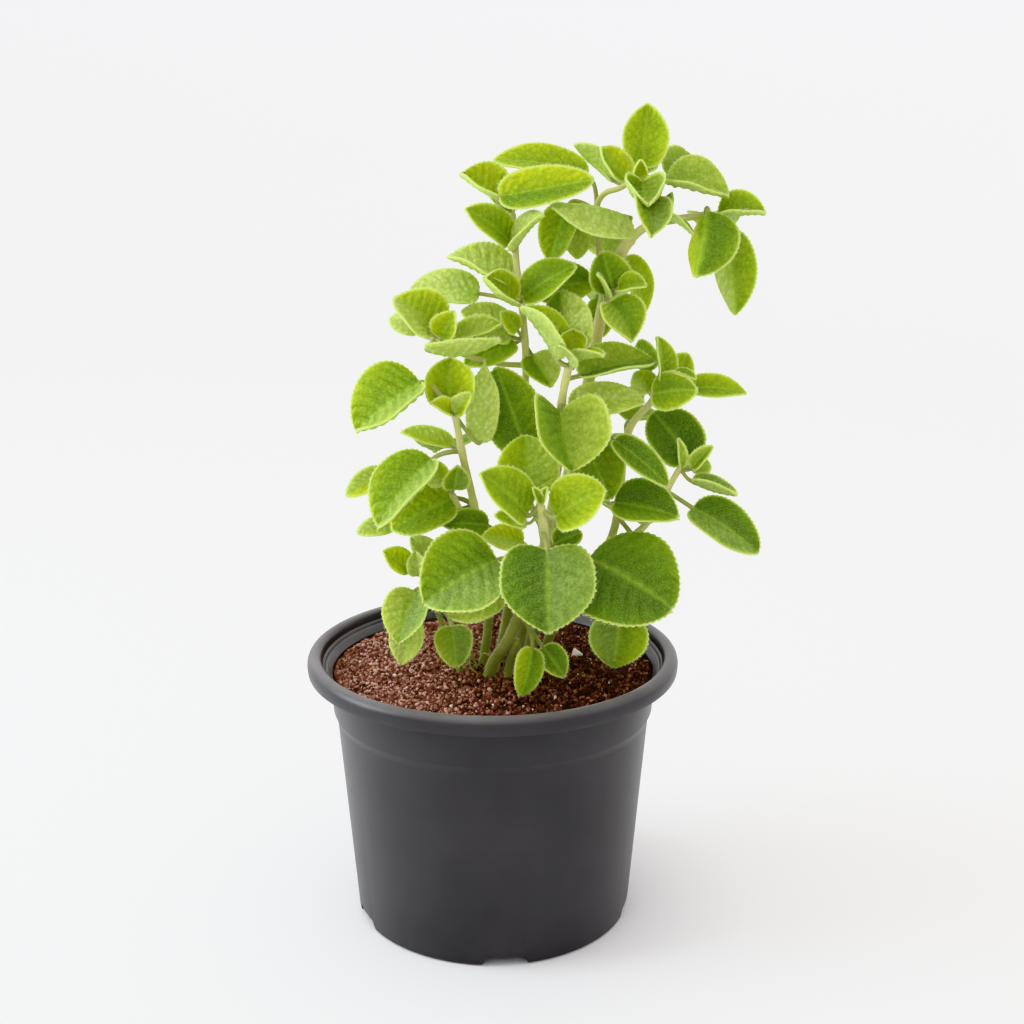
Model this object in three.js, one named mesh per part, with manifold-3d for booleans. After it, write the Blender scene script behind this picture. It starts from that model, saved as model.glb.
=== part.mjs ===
// Indian borage (Coleus amboinicus), a bushy herb with thick, velvety, scalloped leaves,
// in a round black nursery pot filled with brown coir.
// Millimetres, +Z up. The origin is on the pot's axis, in the plane that the pot stands on.
// -Y is the side that faces the viewer, +X is to the viewer's right.

import * as THREE from 'three';
import { mergeVertices } from 'three/addons/utils/BufferGeometryUtils.js';
import Module from 'manifold-3d';

const wasm = await Module();
wasm.setup();

// The pot: a trade size 17 cm container, 126 mm high, thin walled, with a rolled rim.
const ROUND_SIDES = 28;
const POT_HEIGHT = 126;
const RIM_RADIUS = 85;
const BASE_RADIUS = 64;
const WALL = 1.6;
const FLOOR = 2;
const MIDDLE_RADIUS = 42;
const CHANNEL_HEIGHT = 3.8;
const FOOT_WIDTH = 3.6;
const WALL_FLARE = 0.083;
const BASE_BEVEL = 1.4;
const COLLAR_BOTTOM = 96;
const COLLAR_RISE = 3.5;
const COLLAR_STEP = 1.3;
const NECK_DROP = 9.2;

// The rolled rim's section: how far in from its outside, and how far below its top. It starts in
// the hollow below the roll, runs over the roll and ends inside the pot.
const RIM_SECTION = [
  [6.2, 5.8], [5.4, 2.5], [2, 2.5], [1.6, 7.6], [0.2, 7.6],
  [0, 4.4], [0.9, 1.3], [3.2, 0], [6.3, 1.2], [7.4, 5],
];

// Drain slots through the foot and the wall, and a drain hole in the channel behind each.
const SLOT_COUNT = 5;
const SLOT_WIDTH = 21.5;
const SLOT_TOP_WIDTH = 16.5;
const SLOT_HEIGHT = 4.7;
const SLOT_DEPTH = 14;
const SLOT_INNER_RADIUS = 59;
const DRAIN_WIDTH = 12;
const DRAIN_LENGTH = 6;
const DRAIN_INNER_RADIUS = 52;
const FIRST_SLOT_DEGREES = -85.5;

// The coir: a lumpy surface a little below the rim, higher in the middle.
const COIR_GAP = 0.35;
const COIR_EDGE_HEIGHT = 116.5;
const COIR_CROWN = 3;
const COIR_LUMP = 0.8;
const COIR_RINGS = [67, 52, 35, 18, 0];
const HOLE_GAP = 0.35;

// Leaf form, the same rule for every leaf.
const EGG = 0.2;
const TOOTH = 0.04;
const EDGE_THICKNESS = 0.7;
const THICKEST_BLADE = 1.8;
const HALFWAY = 0.55;
const STEM_SIDES = 6;

// A leaf is given by the foot and the tip of its blade, its width when flat, the way its upper
// face looks (right, away, up), how far each half is folded up at the midrib, how much more it
// curls towards the margin (degrees), how high the midrib bows, how far the foot is heart-shaped
// and how pointed the tip is. A pair of numbers is for the right and the left half, seen with the
// tip up.
const leaf = (foot, tip, wide, face, fold = 10, curl = 15, bow = 0.06, heart = 0.05, point = 0.3) =>
  ({ foot, tip, wide, face, fold: [fold].flat(), curl: [curl].flat(), bow, heart, point });

// A stem follows its points and tapers from thick to thin (diameters).
const stem = (points, thick, thin) => ({ points, thick, thin });

// The leaves that grow from one point of a stem.
const at = (point, ...leaves) => ({ point, leaves });

// The leafy stems. Every row is a place on the real plant: stems first, then the leaves of each
// point that leaves grow from.
const PLANTS = {
  tall_stem: {
    stems: [
      stem([[14, 18, 92], [18, 16, 122], [30, 16, 180], [42, 14, 240], [50, 12, 285],
        [57, 8, 306], [62, 6, 313]], 6.4, 5.6),
      stem([[60, 7, 311], [67, 4, 317], [78, 2, 320], [93, 1, 322]], 4.4, 2.8),
      stem([[50, 12, 285], [48, 15, 300], [46, 16, 322], [49, 15, 330], [56, 10, 333],
        [63, 3, 338]], 3.4, 2.4),
      stem([[50, 12, 278], [50, 4, 285], [50, 0, 289]], 3, 2.2),
    ],
    whorls: [
      at([93, 1, 322],
        leaf([98, 3, 321], [117, -2, 323], 22, [0, -1, 1.1], [38, 8], [30, 20]),
        leaf([91, -7, 324], [86, -18, 298], 30, [0.7, -3, 0.8], [-90, 5], [0, 15]),
        leaf([99, 4, 315], [106, 2, 279], 24, [0.3, -1, 0.1], [-85, 8], [0, 10]),
        leaf([95, 8, 322], [103, 28, 312], 24, [0, 1, 2])),
      at([78, 2, 320],
        leaf([74, -6, 322], [85, -12, 315], 12, [0.6, 0, 1]),
        leaf([77, 5, 320], [78, 8, 331], 9, [-1, -0.6, 0])),
      at([63, 3, 338],
        leaf([65, 6, 342], [67, 11, 368], 21, [0, -1, 0.2], 14, 22, -0.04),
        leaf([64, -5, 336], [65, -20, 328], 23, [0, -1, 1.4], 0, 95, -0.15),
        leaf([63, -2, 338], [63, -5, 345], 9, [0, -1, 0.5], 5, 90, -0.1),
        leaf([57, 2, 337], [47, 2, 350], 16, [0.5, -1, 0.6], 10, 50, -0.08),
        leaf([53, 12, 336], [36, 14, 351], 12, [1, 1.5, 0.8], 20, 20),
        leaf([75, 5, 336], [101, 0, 330], 29, [0, -1, 0.8], [30, 10], [50, -14]),
        leaf([77, 16, 338], [86, 27, 348], 16, [0.2, -1, 0.4]),
        leaf([65, -8, 329], [66, -25, 315], 20, [0.4, -1, 1], 22, 25),
        leaf([62, 15, 338], [56, 40, 343], 26, [0, 0.6, 1])),
      at([46, 16, 323],
        leaf([42, 24, 337], [1, 24, 344], 22, [0, -1, 1.4]),
        leaf([60, 11, 320], [26, -6, 326], 32, [0, -1, 1], [-42, -30], [0, 60]),
        leaf([34, 20, 325], [26, 16, 301], 18, [-0.5, -1, 0]),
        leaf([38, 20, 318], [38, 18, 302], 12, [0, -1, 0]),
        leaf([60, 26, 315], [44, 29, 305], 18, [0, -1, 0.4])),
      at([50, 0, 288],
        leaf([53, 1, 289], [48, 3, 306], 19, [0, -1, 0.4]),
        leaf([50, -5, 288], [45, -9, 298], 8, [1, 0, 0.4]),
        leaf([55, -3, 291], [66, -8, 293], 13, [0, -0.8, 1], 20, 20),
        leaf([50, -6, 285], [60, -14, 270], 24, [0.4, -1, 0.8], 20, 20)),
      at([52, 11, 292],
        leaf([59, 12, 303], [67, 11, 278], 18, [1, -0.9, 0], 10, 10),
        leaf([47, 19, 284], [50, 21, 267], 12, [0, -1, 0]),
        leaf([52, 20, 290], [50, 46, 278], 28, [0.2, 0.6, 1])),
      at([42, 14, 240],
        leaf([48, 18, 240], [66, 42, 230], 28, [0.2, 0.5, 1])),
    ],
  },
  back_stem: {
    stems: [
      stem([[0, 14, 92], [4, 14, 122], [10, 14, 160], [14, 10, 215], [15, 8, 258], [13, 0, 285],
        [11, 3, 300], [9, 6, 324]], 5, 3),
      stem([[15, 8, 256], [2, 2, 258], [-14, -8, 264], [-24, -14, 271]], 2.8, 2.2),
    ],
    whorls: [
      at([9, 6, 323],
        leaf([5, 9, 328], [-13, 9, 339], 25, [0.3, -1, 1], [8, 40], [50, 20], -0.05),
        leaf([4, -1, 330], [43, -4, 337], 19, [0, -1, 0.6], 8, [20, 30], 0, 0.05, 0.1),
        leaf([8, 15, 323], [4, 35, 328], 18, [0, 0.3, 1])),
      at([10, 5, 309],
        leaf([7, 2, 311], [-11, -4, 325], 17, [0.3, -1, 1], [30, 5], [20, 20]),
        leaf([10, -2, 308], [22, -10, 323], 18, [-0.8, -0.2, 0.6], 20, 15)),
      at([13, 0, 285],
        leaf([7, 2, 291], [-18, 7, 304], 29, [0.3, -1, 1], [0, 42], [25, 20]),
        leaf([10, -4, 286], [-3, -16, 297], 20, [0.2, -1, 1], 8, 70, -0.08),
        leaf([14, -3, 287], [36, -6, 301], 20, [-0.3, -1, 1]),
        leaf([-6, 6, 288], [-35, 8, 290], 18, [0, -1, 0.8]),
        leaf([20, 8, 288], [46, 10, 292], 24, [0, -1, 1]),
        leaf([11, 14, 288], [1, 37, 291], 26, [0, 0.4, 1])),
      at([-24, -14, 271],
        leaf([-25, -14, 273], [-41, -10, 288], 28, [0.5, -1, 1], 15, 30),
        leaf([-27,-18,267],[3,-22,272],22,[0,-0.2,1],[40,5],[20,5],-0.12),
        leaf([-21, -17, 272], [-16, -17, 283], 14, [-0.2, -1, 0.5], 20, 30),
        leaf([-15, -12, 271], [4, -9, 277], 15, [-0.2, -1, 1], 20, 50, -0.05),
        leaf([-32, -4, 272], [-44, 4, 278], 12, [0, -1, 1])),
      at([13, 6, 268],
        leaf([8, 2, 270], [-13, 0, 281], 18, [0, -1, 0.8]),
        leaf([11, -1, 273], [4, -4, 281], 9, [0, -1, 0.6]),
        leaf([10, 6, 266], [-12, 1, 257], 16, [0, -1, 0.9]),
        leaf([18, 9, 260], [26, 0, 248], 18, [0.3, -1, 0.6])),
      at([13, 12, 205],
        leaf([18, 20, 206], [24, 48, 198], 30, [0.1, 0.5, 1])),
    ],
  },
  centre_stem: {
    stems: [
      stem([[10, 4, 92], [12, 2, 124], [20, 0, 160], [28, -6, 205], [30, -16, 243],
        [33, -18, 261]], 5.2, 3.6),
    ],
    whorls: [
      at([33, -18, 260],
        leaf([28, -20, 263], [13, -18, 285], 26, [1, -0.9, 0.3], [5, 62], [15, 15]),
        leaf([35, -12, 265], [30, -2, 290], 22, [-0.1, -1, 0.3]),
        leaf([34, -18, 264], [35, -14, 275], 18, [0, -1, 0.4], 12, 80, -0.08),
        leaf([34, -20, 262], [47, -28, 266], 14, [0, 0.1, 1], 20, 20),
        leaf([34, -25, 261], [28, -31, 271], 8, [0.7, 0.2, 0.7])),
      at([32, -17, 254],
        leaf([38, -14, 255], [71, -4, 259], 24, [-0.1, -0.9, 1], [30, 5], [28, 15])),
      at([30, -16, 243],
        leaf([34, -16, 241], [66, -10, 243], 20, [0, -0.7, 1]),
        leaf([29, -22, 241], [33, -38, 218], 40, [0, -1, 1], [45, 10], [10, 12], 0.06, 0.26),
        leaf([15, -8, 221], [2, -4, 257], 26, [0, -1, 0.1], [0, -5], 0, -0.03)),
      at([29, -8, 214],
        leaf([38, -7, 227], [52, -13, 200], 27, [0.2, -1, 0.3])),
    ],
  },
  right_stem: {
    stems: [
      stem([[22, 8, 92], [24, 5, 122], [36, 2, 150], [50, -3, 172], [56, -4, 190], [60, -1, 226],
        [70, -2, 241], [75, -2, 250]], 5, 3.2),
      stem([[48, -4, 165], [57, -8, 174], [64, -10, 183], [70, -10, 190], [79, -11, 207],
        [83, -12, 215]], 4, 2.6),
    ],
    whorls: [
      at([74, -2, 249],
        leaf([70, 6, 254], [66, 10, 267], 10, [0, -1, 0]),
        leaf([74, -4, 250], [72, -2, 270], 16, [1, -0.8, 0], 15, 20),
        leaf([79, 5, 248], [87, 8, 261], 14, [0, -1, 0.3]),
        leaf([79, -8, 255], [88, -12, 253], 9, [0, -0.2, 1]),
        leaf([70, -10, 246], [88, -17, 249], 17, [0, -0.8, 1], [-25, 25], [10, 20]),
        leaf([86, -1, 247], [112, -2, 245], 14, [0, -0.8, 1], 10, 15, 0.06, 0.05, 0.8),
        leaf([69, -3, 246], [63, 0, 254], 12, [0, -1, 0.5])),
      at([60, -1, 226],
        leaf([53, -16, 227], [76, -23, 208], 14, [0.3, -1, 0.7], [10, 15], 15),
        leaf([62, 10, 230], [79, 33, 228], 26, [0.3, 0.3, 1])),
      at([83, -12, 213],
        leaf([87, -4, 217], [72, 6, 235], 25, [0, -1, 0.5], 10, 15, 0.06, 0.12, 0.1),
        leaf([83, -12, 214], [81, -13, 227], 6, [0.5, -1, 0], 30, 20),
        leaf([88, -13, 214], [96, -15, 224], 9, [0, -1, 1], 30, 20),
        leaf([88, -7, 212], [97, -3, 213], 10, [0, -1, 0.8]),
        leaf([88, -14, 208], [107, -18, 203], 14, [0, -0.5, 1], [55, 15], [20, 10], -0.06)),
      at([77, -11, 203],
        leaf([89, -11, 195], [116, -24, 178], 23, [0.4, -1, 0.8], 10, 15, 0.06, 0.05, 0)),
      at([63, -10, 182],
        leaf([54, -13, 198], [81, -22, 194], 26, [0, -1, 0.8], [22, 5], [30, 12])),
      at([56, -4, 190],
        leaf([58, 6, 188], [72, 32, 176], 32, [0.3, 0.5, 1])),
    ],
  },
  left_stem: {
    stems: [
      stem([[-8, 0, 92], [-4, -2, 122], [-2, -4, 150], [-8, -8, 195], [-13, -14, 221],
        [-16, -17, 240]], 5, 3.4),
      stem([[-6, -6, 178], [-12, -10, 190], [-18, -14, 204]], 3.4, 2.4),
    ],
    whorls: [
      at([-16, -17, 239],
        leaf([-31, -14, 252], [-58, -22, 233], 38, [-0.3, -1, 0.7], [0, 15], [5, 60]),
        leaf([-18, -11, 241], [-18, -7, 262], 25, [0, -1, 0.5], 5, 50),
        leaf([-18, -20, 240], [-26, -28, 246], 10, [0, -1, 0.8], 20, 30),
        leaf([-15, -20, 240], [-9, -22, 249], 10, [-0.3, -1, 0.5], 20, 30),
        leaf([-5, -12, 226], [-3, -9, 261], 14, [0.1, -1, 0.1], 4, 4, 0.02, 0.05, 2.5)),
      at([-13, -14, 222],
        leaf([-18, -9, 223], [-40, -2, 228], 12, [0, -0.5, 1]),
        leaf([-26, -18, 219], [-49, -31, 193], 34, [-0.5, -1, 0.6], [0, 15], [5, 55]),
        leaf([-15, 1, 221], [-27, 28, 213], 30, [-0.2, 0.5, 1])),
      at([-8, -8, 196],
        leaf([-48, 3, 208], [-65, -2, 199], 12, [0, -1, 0.8]),
        leaf([-18, -9, 199], [-44, -16, 187], 26, [-0.3, -1, 0.8]),
        leaf([-45, -4, 186], [-60, -10, 184], 10, [0, -1, 0.8]),
        leaf([-16, 2, 188], [-28, 30, 176], 30, [-0.2, 0.4, 1])),
      at([-18, -14, 203],
        leaf([-21, -13, 207], [-27, -12, 218], 12, [-0.3, -1, 0]),
        leaf([-17, -17, 206], [-15, -20, 217], 12, [0.3, -1, 0])),
      at([-4, -6, 180],
        leaf([-2, -10, 187], [-22, -18, 190], 14, [0, -1, 0.8])),
    ],
  },
  front_stem: {
    stems: [
      stem([[-6, -14, 92], [-1, -18, 122], [6, -24, 137], [14, -31, 158], [22, -38, 182],
        [20, -41, 206]], 6.4, 4.2),
      stem([[6, -16, 92], [7, -20, 122], [11, -25, 139]], 5, 4),
    ],
    whorls: [
      at([20, -41, 205],
        leaf([20, -42, 206], [17, -43, 213], 5, [0.6, -1, 0], 30, 20),
        leaf([21, -41, 206], [23, -43, 213], 5, [-0.6, -1, 0], 30, 20),
        leaf([14, -43, 201], [-5, -48, 220], 24, [0.3, -1, 1.2], 12, 15),
        leaf([27, -43, 200], [47, -48, 213], 26, [-0.2, -1, 1], 10, 12, 0.06, 0.05, 0),
        leaf([14, -42, 197], [1, -44, 201], 9, [0, -1, 1])),
      at([21, -40, 194],
        leaf([23, -46, 186], [23, -65, 156], 39, [0, -1, 0.7], 8, -8, 0.06, 0.14, 0.8),
        leaf([16, -30, 206], [14, -20, 230], 27, [0, -1, 0.6])),
      at([20, -36, 176],
        leaf([42, -31, 178], [76, -52, 162], 50, [0.1, -1, 1], [-4, 0], [10, -5], 0.06, 0.05, 0.1),
        leaf([2, -36, 179], [-29, -46, 163], 40, [-0.1, -1, 1], 10, [25, 15], 0.06, 0.05, 0.1)),
      at([14, -31, 158],
        leaf([56, -30, 152], [53, -34, 129], 26, [0, -1, 0.3], 10, 15, 0.06, 0.05, 0.8),
        leaf([3, -27, 160], [-19, -32, 152], 20, [0, -1, 1])),
      at([18, -35, 171],
        leaf([13, -27, 184], [-4, -26, 187], 13, [0, -1, 1]),
        leaf([27, -26, 183], [39, -22, 187], 12, [0, -1, 1])),
      at([13, -30, 152],
        leaf([17, -40, 140], [12, -49, 122], 13, [0.3, -1, 0.6], [10, 5], 15),
        leaf([22, -36, 139], [31, -43, 128], 13, [0, -1, 0.7], [15, 5], [20, 10], 0.06, 0.05, 0.8)),
    ],
  },
  low_stem: {
    stems: [
      stem([[-12, -10, 92], [-15, -15, 122], [-19, -18, 132], [-25, -19, 152], [-32, -18, 168]], 3.6, 2.4),
    ],
    whorls: [
      at([-32, -18, 167],
        leaf([-37, -16, 169], [-48, -18, 178], 12, [0, -1, 1]),
        leaf([-33, -18, 167], [-34, -18, 178], 10, [0, -1, 0.3], 25, 20),
        leaf([-26, -14, 173], [-36, -14, 183], 11, [0, -1, 0.6])),
      at([-26, -19, 155],
        leaf([-34, -24, 161], [-41, -38, 142], 22, [-0.2, -1, 0.7], 22, 15),
        leaf([-36, -24, 148], [-40, -34, 131], 15, [0, -1, 0.6]),
        leaf([-18, -22, 144], [-16, -32, 129], 17, [0, -1, 0.6], 10, 15, 0.06, 0.05, 0),
        leaf([-28, -10, 156], [-36, 12, 148], 22, [-0.4, 0.3, 1])),
    ],
  },
};

const degrees = Math.PI / 180;
const vector = (point) => new THREE.Vector3(...point);

// Turns positions and triangles into a solid.
function toSolid(positions, triangles) {
  const mesh = new wasm.Mesh({
    numProp: 3,
    vertProperties: new Float32Array(positions),
    triVerts: new Uint32Array(triangles),
  });
  return new wasm.Manifold(mesh);
}

// Turns a three.js geometry into a solid, without the flat triangles at its poles.
function geometrySolid(geometry) {
  geometry.deleteAttribute('normal');
  geometry.deleteAttribute('uv');
  const merged = mergeVertices(geometry, 1e-4);
  const index = merged.index.array;
  const triangles = [];
  for (let i = 0; i < index.length; i += 3) {
    const [a, b, c] = index.slice(i, i + 3);
    if (a !== b && b !== c && c !== a) triangles.push(a, b, c);
  }
  return toSolid(merged.attributes.position.array, triangles);
}

// The plane of a leaf: its axis from foot to tip, its upper face and the way across.
function leafFrame(shape) {
  const foot = vector(shape.foot);
  const axis = vector(shape.tip).sub(foot);
  const length = axis.length();
  axis.normalize();
  const face = vector(shape.face);
  face.addScaledVector(axis, -face.dot(axis)).normalize();
  return { foot, axis, face, across: new THREE.Vector3().crossVectors(axis, face), length };
}

// A point of the blade's middle surface. The turn runs along the outline from 0 at the foot to
// PI at the tip, and the side from -1 at the left margin to 1 at the right one.
function bladePoint(shape, frame, turn, side) {
  const along = (1 - Math.cos(turn)) / 2;
  const out = Math.abs(side);
  const half = shape.wide / 2 * Math.sin(turn) ** (1 + shape.point * along * along)
    * (1 + EGG * Math.cos(turn));
  const ofSide = (pair) => (side < 0 && pair.length > 1 ? pair[1] : pair[0]) * degrees;
  const slope = ofSide(shape.fold) + ofSide(shape.curl) * out / 2;
  const lobe = turn < Math.PI / 2 ? shape.heart * Math.sin(2 * turn) * out * out : 0;
  const rise = shape.bow * frame.length * 4 * along * (1 - along);
  return frame.foot.clone()
    .addScaledVector(frame.axis, (along - lobe) * frame.length)
    .addScaledVector(frame.face, rise + half * out * Math.sin(slope))
    .addScaledVector(frame.across, Math.sign(side) * half * out * Math.cos(slope));
}

// The blade's upper direction at one of its points.
function bladeNormal(shape, frame, turn, side) {
  const step = 1e-3;
  const inside = Math.min(Math.max(turn, 0.05), Math.PI - 0.05);
  const along = bladePoint(shape, frame, inside + step, side)
    .sub(bladePoint(shape, frame, inside - step, side));
  const across = bladePoint(shape, frame, inside, side + step)
    .sub(bladePoint(shape, frame, inside, side - step));
  return across.cross(along).normalize();
}

// How many steps an outline has on each side, and at which of them the midrib has a point.
function ribSteps(length) {
  if (length > 35) return [0, 3, 6, 9, 12];
  if (length > 25) return [0, 3, 7, 10];
  if (length > 17) return [0, 4, 8];
  return [0, 3, 6];
}

// A leaf with its stalk, as one closed mesh. Every second step of the outline is a scallop.
// The last ring of the stalk is the foot of the blade: above, right, below and left of it.
function leafSolid(root, shape) {
  const frame = leafFrame(shape);
  const ribs = ribSteps(frame.length);
  const steps = ribs.at(-1);
  const bladeThickness = Math.min(THICKEST_BLADE, 0.9 + 0.03 * shape.wide);
  const stalkRadius = Math.min(1.2, 0.6 + 0.02 * shape.wide);
  const positions = [];
  const triangles = [];
  const addPoint = (point) => positions.push(point.x, point.y, point.z) / 3 - 1;
  const places = new Map();

  // The numbers of the upper and the lower point of the blade at one place.
  const place = (step, side) => {
    const pointed = step === 0 || step === steps;
    const key = `${step} ${pointed ? 0 : side}`;
    if (!places.has(key)) {
      const turn = Math.PI * step / steps;
      const rim = Math.abs(side) === 1;
      const reach = pointed ? 0 : rim ? side * (1 + (step % 2 ? TOOTH : -TOOTH)) : side;
      const middle = bladePoint(shape, frame, turn, reach);
      const up = bladeNormal(shape, frame, turn, pointed ? 0.01 : side);
      if (step === 0) up.copy(frame.face);
      const half = step === 0 ? stalkRadius : (pointed || rim ? EDGE_THICKNESS : bladeThickness) / 2;
      places.set(key, [
        addPoint(middle.clone().addScaledVector(up, half)),
        addPoint(middle.clone().addScaledVector(up, -half)),
      ]);
    }
    return places.get(key);
  };

  for (const side of [-1, 1]) {
    // Both faces are split alike: the lower triangle mirrors the upper one.
    const addFace = (a, b, c) => {
      const [p, q, r] = side > 0 ? [a, b, c] : [a, c, b];
      triangles.push(p[0], q[0], r[0], p[1], r[1], q[1]);
    };
    ribs.slice(1).forEach((next, number) => {
      const last = ribs[number];
      const rib = [place(last, 0), place(next, 0)];
      const mid = [place(last, side * HALFWAY), place(next, side * HALFWAY)];
      const swap = last === 0 ? last : next === steps ? next : Math.floor((last + next) / 2);
      for (let step = last; step < next; step += 1) {
        const hub = step < swap ? mid[0] : mid[1];
        const [a, b] = [place(step, side), place(step + 1, side)];
        if (a !== hub && b !== hub) addFace(hub, a, b);
      }
      if (last === 0) {
        addFace(rib[0], mid[1], rib[1]);
      } else if (next === steps) {
        addFace(rib[0], mid[0], rib[1]);
      } else {
        addFace(mid[0], place(swap, side), mid[1]);
        addFace(rib[0], mid[0], mid[1]);
        addFace(rib[0], mid[1], rib[1]);
      }
    });
  }

  // The foot's two side points, and the edge wall round the blade.
  const foot = place(0, 0);
  const footSides = [1, -1].map((side) =>
    addPoint(frame.foot.clone().addScaledVector(frame.across, side * stalkRadius)));
  const addEdge = (a, b) => triangles.push(b[0], a[0], a[1], b[0], a[1], b[1]);
  for (let step = 1; step < steps; step += 1) {
    addEdge(place(step, 1), place(step + 1, 1));
    addEdge(place(step + 1, -1), place(step, -1));
  }
  const right = place(1, 1);
  const left = place(1, -1);
  triangles.push(foot[0], footSides[0], right[0], right[0], footSides[0], right[1]);
  triangles.push(right[1], footSides[0], foot[1]);
  triangles.push(footSides[1], foot[0], left[0], footSides[1], left[0], left[1]);
  triangles.push(footSides[1], left[1], foot[1]);

  // The stalk, from the foot of the blade back into the stem.
  const start = vector(root);
  const gap = start.distanceTo(frame.foot);
  const lead = frame.foot.clone().addScaledVector(frame.axis, -Math.min(0.4 * gap, 5));
  const curve = new THREE.QuadraticBezierCurve3(frame.foot, lead, start);
  const pieces = gap < 8 ? 1 : gap < 18 ? 2 : 3;
  let ring = [foot[0], footSides[0], foot[1], footSides[1]];
  const up = frame.face.clone();
  for (let piece = 1; piece <= pieces; piece += 1) {
    const tangent = curve.getTangent(piece / pieces);
    up.addScaledVector(tangent, -up.dot(tangent)).normalize();
    const sideways = new THREE.Vector3().crossVectors(up, tangent);
    const centre = curve.getPoint(piece / pieces);
    const next = [up, sideways, up.clone().negate(), sideways.clone().negate()]
      .map((way) => addPoint(centre.clone().addScaledVector(way, stalkRadius)));
    ring.forEach((corner, k) => {
      const other = (k + 1) % ring.length;
      triangles.push(corner, next[k], next[other], corner, next[other], ring[other]);
    });
    ring = next;
  }
  triangles.push(ring[0], ring[2], ring[1], ring[0], ring[3], ring[2]);
  return toSolid(positions, triangles);
}

// A tapered round stem through its points, closed at both ends.
function stemSolid({ points, thick, thin }, extra = 0) {
  const centres = points.map(vector);
  const last = points.length - 1;
  const positions = [];
  const triangles = [];
  const up = new THREE.Vector3(1, 0, 0);
  centres.forEach((centre, ring) => {
    const tangent = centres[Math.min(ring + 1, last)].clone()
      .sub(centres[Math.max(ring - 1, 0)])
      .normalize();
    up.addScaledVector(tangent, -up.dot(tangent)).normalize();
    const sideways = new THREE.Vector3().crossVectors(tangent, up);
    const radius = (thick + (thin - thick) * ring / last) / 2 + extra;
    for (let corner = 0; corner < STEM_SIDES; corner += 1) {
      const angle = 2 * Math.PI * corner / STEM_SIDES;
      const point = centre.clone()
        .addScaledVector(up, radius * Math.cos(angle))
        .addScaledVector(sideways, radius * Math.sin(angle));
      positions.push(point.x, point.y, point.z);
    }
  });
  for (let ring = 0; ring < last; ring += 1) {
    for (let corner = 0; corner < STEM_SIDES; corner += 1) {
      const a = ring * STEM_SIDES + corner;
      const b = ring * STEM_SIDES + (corner + 1) % STEM_SIDES;
      triangles.push(a, b, b + STEM_SIDES, a, b + STEM_SIDES, a + STEM_SIDES);
    }
  }
  const top = last * STEM_SIDES;
  for (let corner = 1; corner + 1 < STEM_SIDES; corner += 1) {
    triangles.push(0, corner + 1, corner, top, top + corner, top + corner + 1);
  }
  return toSolid(positions, triangles);
}

// One leafy stem: its stems and branches with all their leaves grown into them.
function plantSolid({ stems, whorls }) {
  const pieces = stems.map((one) => stemSolid(one));
  for (const { point, leaves } of whorls) {
    for (const one of leaves) pieces.push(leafSolid(point, one));
  }
  return wasm.Manifold.union(pieces);
}

// Turns a profile of radius and height round the pot's axis.
function turned(profile) {
  const geometry = new THREE.LatheGeometry(profile.map(([r, z]) => new THREE.Vector2(r, z)), ROUND_SIDES);
  geometry.rotateX(Math.PI / 2);
  return geometry;
}

const wallRadius = (height) => BASE_RADIUS + WALL_FLARE * height;
const collarTop = COLLAR_BOTTOM + COLLAR_RISE;
const neckHeight = POT_HEIGHT - NECK_DROP;
const channelTop = CHANNEL_HEIGHT + FLOOR;

// The cut of a drain slot on the +X side: a trapezoid, wider at the bottom, pushed outwards.
function slotCut() {
  const [half, topHalf] = [SLOT_WIDTH / 2, SLOT_TOP_WIDTH / 2];
  const below = -1;
  const corners = [[-half, below], [half, below], [topHalf, SLOT_HEIGHT], [-topHalf, SLOT_HEIGHT]];
  const outline = new THREE.Shape(corners.map(([x, y]) => new THREE.Vector2(x, y)));
  const cut = new THREE.ExtrudeGeometry(outline, { depth: SLOT_DEPTH, bevelEnabled: false });
  cut.rotateX(Math.PI / 2);
  cut.rotateZ(Math.PI / 2);
  return cut.translate(SLOT_INNER_RADIUS, 0, 0);
}

// The cut of a drain hole in the channel, behind the slot on the +X side.
function drainCut() {
  const cut = new THREE.BoxGeometry(DRAIN_LENGTH, DRAIN_WIDTH, 2 * FLOOR);
  return cut.translate(DRAIN_INNER_RADIUS + DRAIN_LENGTH / 2, 0, CHANNEL_HEIGHT + FLOOR / 2);
}

// The pot: a floor with a raised channel inside its foot, a tapered wall, a stacking collar, and
// a mouth that flares into a rim rolled out and down.
function potSolid() {
  const collarRadius = wallRadius(collarTop) + COLLAR_STEP;
  const neckRadius = wallRadius(neckHeight) + COLLAR_STEP;
  const profile = [
    [0, 0],
    [MIDDLE_RADIUS, 0],
    [MIDDLE_RADIUS, CHANNEL_HEIGHT],
    [BASE_RADIUS - FOOT_WIDTH, CHANNEL_HEIGHT],
    [BASE_RADIUS - FOOT_WIDTH, 0],
    [BASE_RADIUS - BASE_BEVEL, 0],
    [BASE_RADIUS, BASE_BEVEL],
    [wallRadius(COLLAR_BOTTOM), COLLAR_BOTTOM],
    [collarRadius, collarTop],
    [neckRadius, neckHeight],
    ...RIM_SECTION.map(([inward, down]) => [RIM_RADIUS - inward, POT_HEIGHT - down]),
    [neckRadius - WALL, neckHeight + 0.4],
    [collarRadius - WALL, collarTop],
    [wallRadius(COLLAR_BOTTOM) - WALL, COLLAR_BOTTOM],
    [wallRadius(channelTop) - WALL, channelTop],
    [MIDDLE_RADIUS - WALL, channelTop],
    [MIDDLE_RADIUS - WALL, FLOOR],
    [0, FLOOR],
  ];
  let pot = geometrySolid(turned(profile));
  for (let slot = 0; slot < SLOT_COUNT; slot += 1) {
    for (const cut of [slotCut(), drainCut()]) {
      cut.rotateZ((FIRST_SLOT_DEGREES + slot * 360 / SLOT_COUNT) * degrees);
      pot = pot.subtract(geometrySolid(cut));
    }
  }
  return pot;
}

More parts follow.
